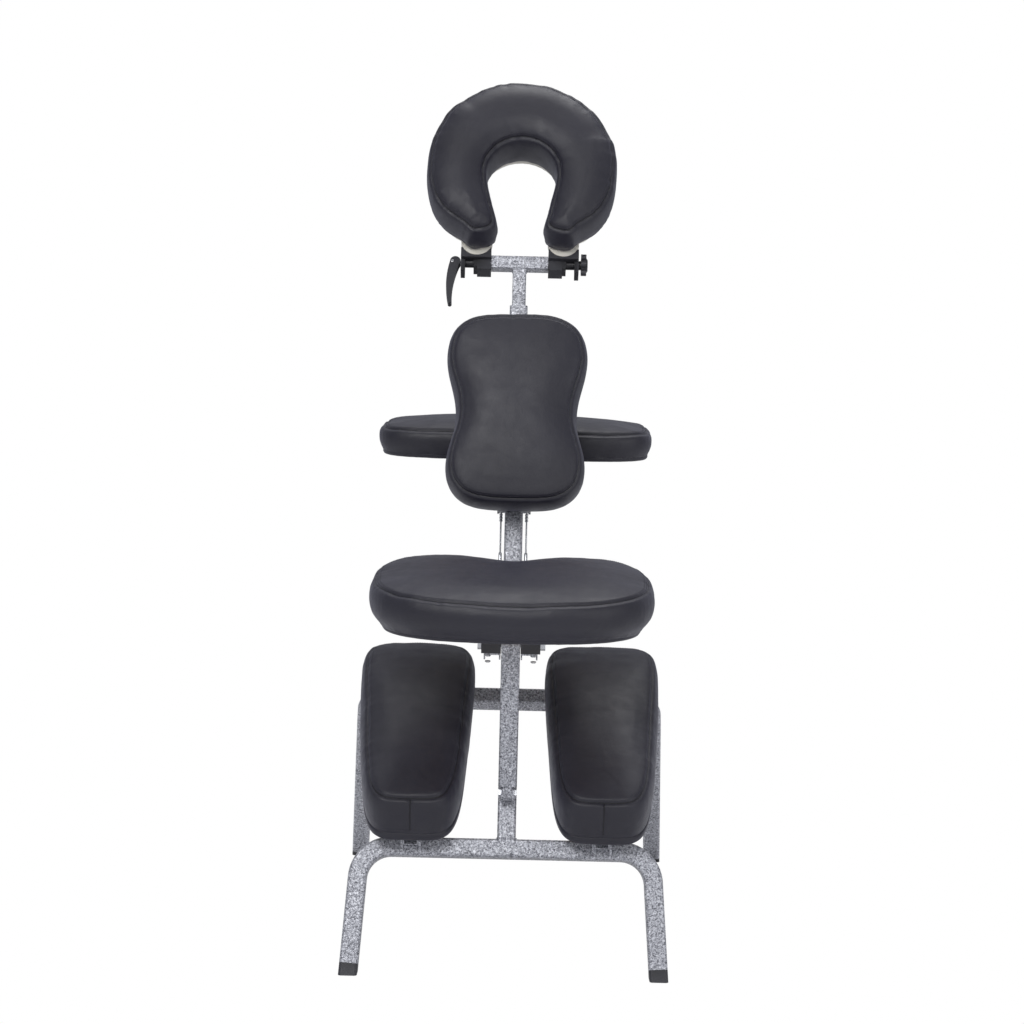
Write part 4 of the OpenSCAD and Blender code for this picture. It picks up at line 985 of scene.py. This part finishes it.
def makeRopes():
    low, high, out, side = (ropePair[key] for key in ("low", "high", "out", "side"))
    parts = []
    terminal = [(0.0010, 0.0034), (0.0019, 0.0036), (0.0023, 0.0046)]
    for i in range(18):
        at = 0.006 + 0.0011 * i
        terminal += [(0.00228, at), (0.00205, at + 0.00055)]
    terminal += [(0.00228, 0.0268), (0.00228, 0.060), (0.0019, 0.0605), (0.0019, 0.0655), (0.00228, 0.066),
                 (0.00228, 0.0885), (0.0018, 0.0896), (0.0012, 0.0897)]
    crimp = [(0.0010, 0.0034), (0.0022, 0.0038), (0.0023, 0.0060), (0.0018, 0.0066), (0.0018, 0.0078),
             (0.0023, 0.0084), (0.0023, 0.0104), (0.0018, 0.0110), (0.0018, 0.0122), (0.0023, 0.0128),
             (0.0023, 0.0143), (0.0012, 0.0148)]
    for s in (-1, 1):
        base = atSpine @ shift(s * side, out, low)
        upper = atSpine @ shift(s * side, out, high) @ Matrix.Rotation(math.pi, 4, "X")
        for place, profile in ((base, terminal), (upper, crimp)):
            mesh = turned("terminal", profile, zincSteel)
            mesh.transform(place)
            parts.append(mesh)
            loop = []
            for i in range(40):
                a = 2 * math.pi * i / 40
                for j in range(10):
                    b = 2 * math.pi * j / 10
                    swell = ropePair["wire"] * (1 + 0.10 * math.cos(3 * b - 22 * a))
                    r = ropePair["loop"] + swell * math.cos(b)
                    loop.append((swell * math.sin(b), r * math.cos(a), r * math.sin(a)))
            mesh = meshFrom("loop", loop, ringFaces(40, 10, True), zincSteel)
            mesh.transform(place)
            parts.append(mesh)
        rope = grow(link("rope", bpy.data.meshes.new("rope")), trees["rope"],
                    {"Span": high - low - 0.012, "Turns": ropePair["turns"], "Material": zincSteel})
        rope.data.transform(base @ shift(0, 0, ropePair["endLength"]))
        parts.append(rope.data)
        bpy.data.objects.remove(rope)
    whole = bmesh.new()
    for mesh in parts:
        whole.from_mesh(mesh)
    mesh = bpy.data.meshes.new("seatRopes")
    whole.to_mesh(mesh)
    whole.free()
    mesh.materials.append(zincSteel)
    mesh.polygons.foreach_set("use_smooth", [True] * len(mesh.polygons))
    mesh.polygons.foreach_set("material_index", [0] * len(mesh.polygons))
    ropes = link("seatRopes", mesh)
    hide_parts("seat_cables")
    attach(ropes, "frame")
    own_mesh(ropes)


makeRopes()
print("ropes wound")


def squarePath(half, corner, count):
    points = []
    for i in range(360):
        a = math.radians(i)
        dx, dy = math.cos(a), math.sin(a)
        reach = half / max(abs(dx), abs(dy))
        points.append((dx * reach, dy * reach))
    soft = []
    for x, y in points:
        cx = max(-half + corner, min(half - corner, x))
        cy = max(-half + corner, min(half - corner, y))
        away = Vector((x - cx, y - cy))
        if away.length > corner and away.length > 0:
            away = away.normalized() * corner
        soft.append((cx + away.x, cy + away.y))
    return even(soft, count)


welds = [
    {"name": "spineWeld", "place": atSpine @ shift(0, 0, 0.1828), "half": 0.0125, "corner": 0.004,
     "bead": 0.0015, "body": "frame", "seed": 31},
    {"name": "frontTubeWeld", "place": atFrontLeg @ shift(0, 0, 0.4405), "half": 0.0125, "corner": 0.004,
     "bead": 0.0015, "body": "front_leg", "seed": 32},
    {"name": "facePostWeld", "place": atSpine @ shift(0, 0, 0.9912), "half": 0.0095, "corner": 0.002,
     "bead": 0.0012, "body": "face_stem", "seed": 33},
]


# a rippled bead round a square tube
def weldBead(weld):
    path = squarePath(weld["half"], weld["corner"], 220)
    ripple = waves(np.linspace(0, 1, len(path), endpoint=False), 0.0075, weld["seed"])
    rings = []
    for i, (x, y) in enumerate(path):
        before, after = path[i - 1], path[(i + 1) % len(path)]
        direction = Vector((after[0] - before[0], after[1] - before[1])).normalized()
        out = Vector((direction.y, -direction.x))
        scale = weld["bead"] * (1 + 0.16 * ripple[i] + 0.12 * math.sin(i * 0.9))
        for j in range(8):
            b = 2 * math.pi * j / 8
            rings.append((x + out.x * scale * math.cos(b), y + out.y * scale * math.cos(b),
                          scale * math.sin(b)))
    made = link(weld["name"], meshFrom(weld["name"], moved(weld["place"], rings),
                                       ringFaces(len(path), 8, True), silverVein))
    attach(made, weld["body"])


for weld in welds:
    weldBead(weld)


# pan head screw with a cross recess
def screwShape():
    mesh = turned("screwShape", [(0.0036, 0), (0.0038, 0.0006), (0.0036, 0.0013), (0.0030, 0.0019),
                                 (0.0022, 0.0023), (0.0012, 0.0025), (0.0004, 0.0025)], zincSteel, 32)
    points = vertices(mesh)
    reach = np.hypot(points[:, 0], points[:, 1])
    arm = np.minimum(np.abs(points[:, 0]), np.abs(points[:, 1]))
    sunk = (reach < 0.0023) & (arm < 0.0006)
    points[sunk, 2] -= 0.0011
    setVertices(mesh, points)
    return stamp("screwShape", mesh)


screw = screwShape()

# heads point down, each set turned its own way
screwSets = [
    {"name": "railScrewsLeft", "place": atShin, "body": "shin_rest_left", "across": (1, 0.4, 0),
     "spots": [(-chair["shinX"], y, -0.0099) for y in (0.05, 0.14, 0.225)]},
    {"name": "railScrewsRight", "place": atShin, "body": "shin_rest_right", "across": (1, 0.4, 0),
     "spots": [(chair["shinX"], y, -0.0099) for y in (0.05, 0.14, 0.225)]},
    {"name": "seatScrews", "place": atSeat, "body": "seat", "across": (1, 0.3, 0),
     "spots": [(x, y, -0.0181) for x in (-0.030, 0.030) for y in (-0.022, 0.020)]},
    {"name": "armScrews", "place": atArm, "body": "arm_rest", "across": (1, 0.6, 0),
     "spots": [(0, y, -0.0099) for y in (0.05, 0.15)]},
]
for group in screwSets:
    turn = group["place"].to_3x3()
    fasten(group["name"], screw, moved(group["place"], group["spots"]), turn @ Vector((0, 0, -1)),
           turn @ Vector(group["across"]), zincSteel, group["body"])

# the bright pin that the cam lever turns on
pinMesh = turned("leverPin", [(0.0004, -0.0066), (0.0013, -0.0065), (0.0021, -0.0062), (0.0023, -0.00605),
                              (0.0015, -0.00602), (0.0015, 0.00602), (0.0023, 0.00605), (0.0021, 0.0062),
                              (0.0013, 0.0065), (0.0004, 0.0066)], brightPin)
pinMesh.transform(atCradle @ shift(-0.095, 0, 0) @ turnX(90))
leverPin = link("leverPin", pinMesh)
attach(leverPin, "cradle")

for shape in (staple, screw):
    bpy.data.objects.remove(shape)
print("fittings added")


studio = {
    "lights": [
        {"name": "key", "place": (-0.9, -3.0, 3.0), "aim": (0, 0, 0.6), "size": 1.8, "power": 62},
        {"name": "fill", "place": (2.4, -2.6, 1.5), "aim": (0, 0, 0.5), "size": 1.8, "power": 18},
        {"name": "top", "place": (0.2, 0.9, 3.0), "aim": (0, 0, 0.6), "size": 1.6, "power": 26},
    ],
    "sky": (0.93, 0.95, 1, 1), "skyStrength": 0.36, "floor": (0.86, 0.86, 0.87, 1), "floorHalf": 6,
}


def areaLight(light):
    lamp = bpy.data.lights.new(light["name"], "AREA")
    lamp.size = light["size"]
    lamp.energy = light["power"]
    made = bpy.data.objects.new(light["name"], lamp)
    scene.collection.objects.link(made)
    made.location = light["place"]
    aim = Vector(light["aim"]) - Vector(light["place"])
    made.rotation_euler = aim.to_track_quat("-Z", "Y").to_euler()


# soft lights, a dim sky, and a sky and floor that the camera sees as white
def makeStudio():
    scene.view_settings.view_transform = "Standard"
    for light in studio["lights"]:
        areaLight(light)
    world = bpy.data.worlds.new("studio")
    scene.world = world
    world.use_nodes = True
    tree = world.node_tree
    tree.nodes.clear()
    rays = tree.nodes.new("ShaderNodeLightPath")
    seen = addNode(tree, "ShaderNodeBackground", Color=(1, 1, 1, 1), Strength=1.0)
    soft = addNode(tree, "ShaderNodeBackground", Color=studio["sky"], Strength=studio["skyStrength"])
    mixed = tree.nodes.new("ShaderNodeMixShader")
    tree.links.new(rays.outputs["Is Camera Ray"], mixed.inputs[0])
    tree.links.new(soft.outputs[0], mixed.inputs[1])
    tree.links.new(seen.outputs[0], mixed.inputs[2])
    out = tree.nodes.new("ShaderNodeOutputWorld")
    tree.links.new(mixed.outputs[0], out.inputs["Surface"])
    floorMat, tree, bsdf = newMaterial("paleFloor")
    finish(tree, bsdf, Base_Color=studio["floor"], Roughness=0.8)
    rays = tree.nodes.new("ShaderNodeLightPath")
    glow = addNode(tree, "ShaderNodeEmission", Color=(1, 1, 1, 1), Strength=1.0)
    mixed = tree.nodes.new("ShaderNodeMixShader")
    tree.links.new(rays.outputs["Is Camera Ray"], mixed.inputs[0])
    tree.links.new(bsdf.outputs[0], mixed.inputs[1])
    tree.links.new(glow.outputs[0], mixed.inputs[2])
    tree.links.new(mixed.outputs[0], tree.nodes["Material Output"].inputs["Surface"])
    mesh = bpy.data.meshes.new("floor")
    h = studio["floorHalf"]
    corners = [(x, y, -0.0005) for x, y in ((-h, -h), (h, -h), (h, h), (-h, h))]
    mesh.from_pydata(corners, [], [(0, 1, 2, 3)])
    mesh.materials.append(floorMat)
    link("floor", mesh)


makeStudio()
print("studio lit")
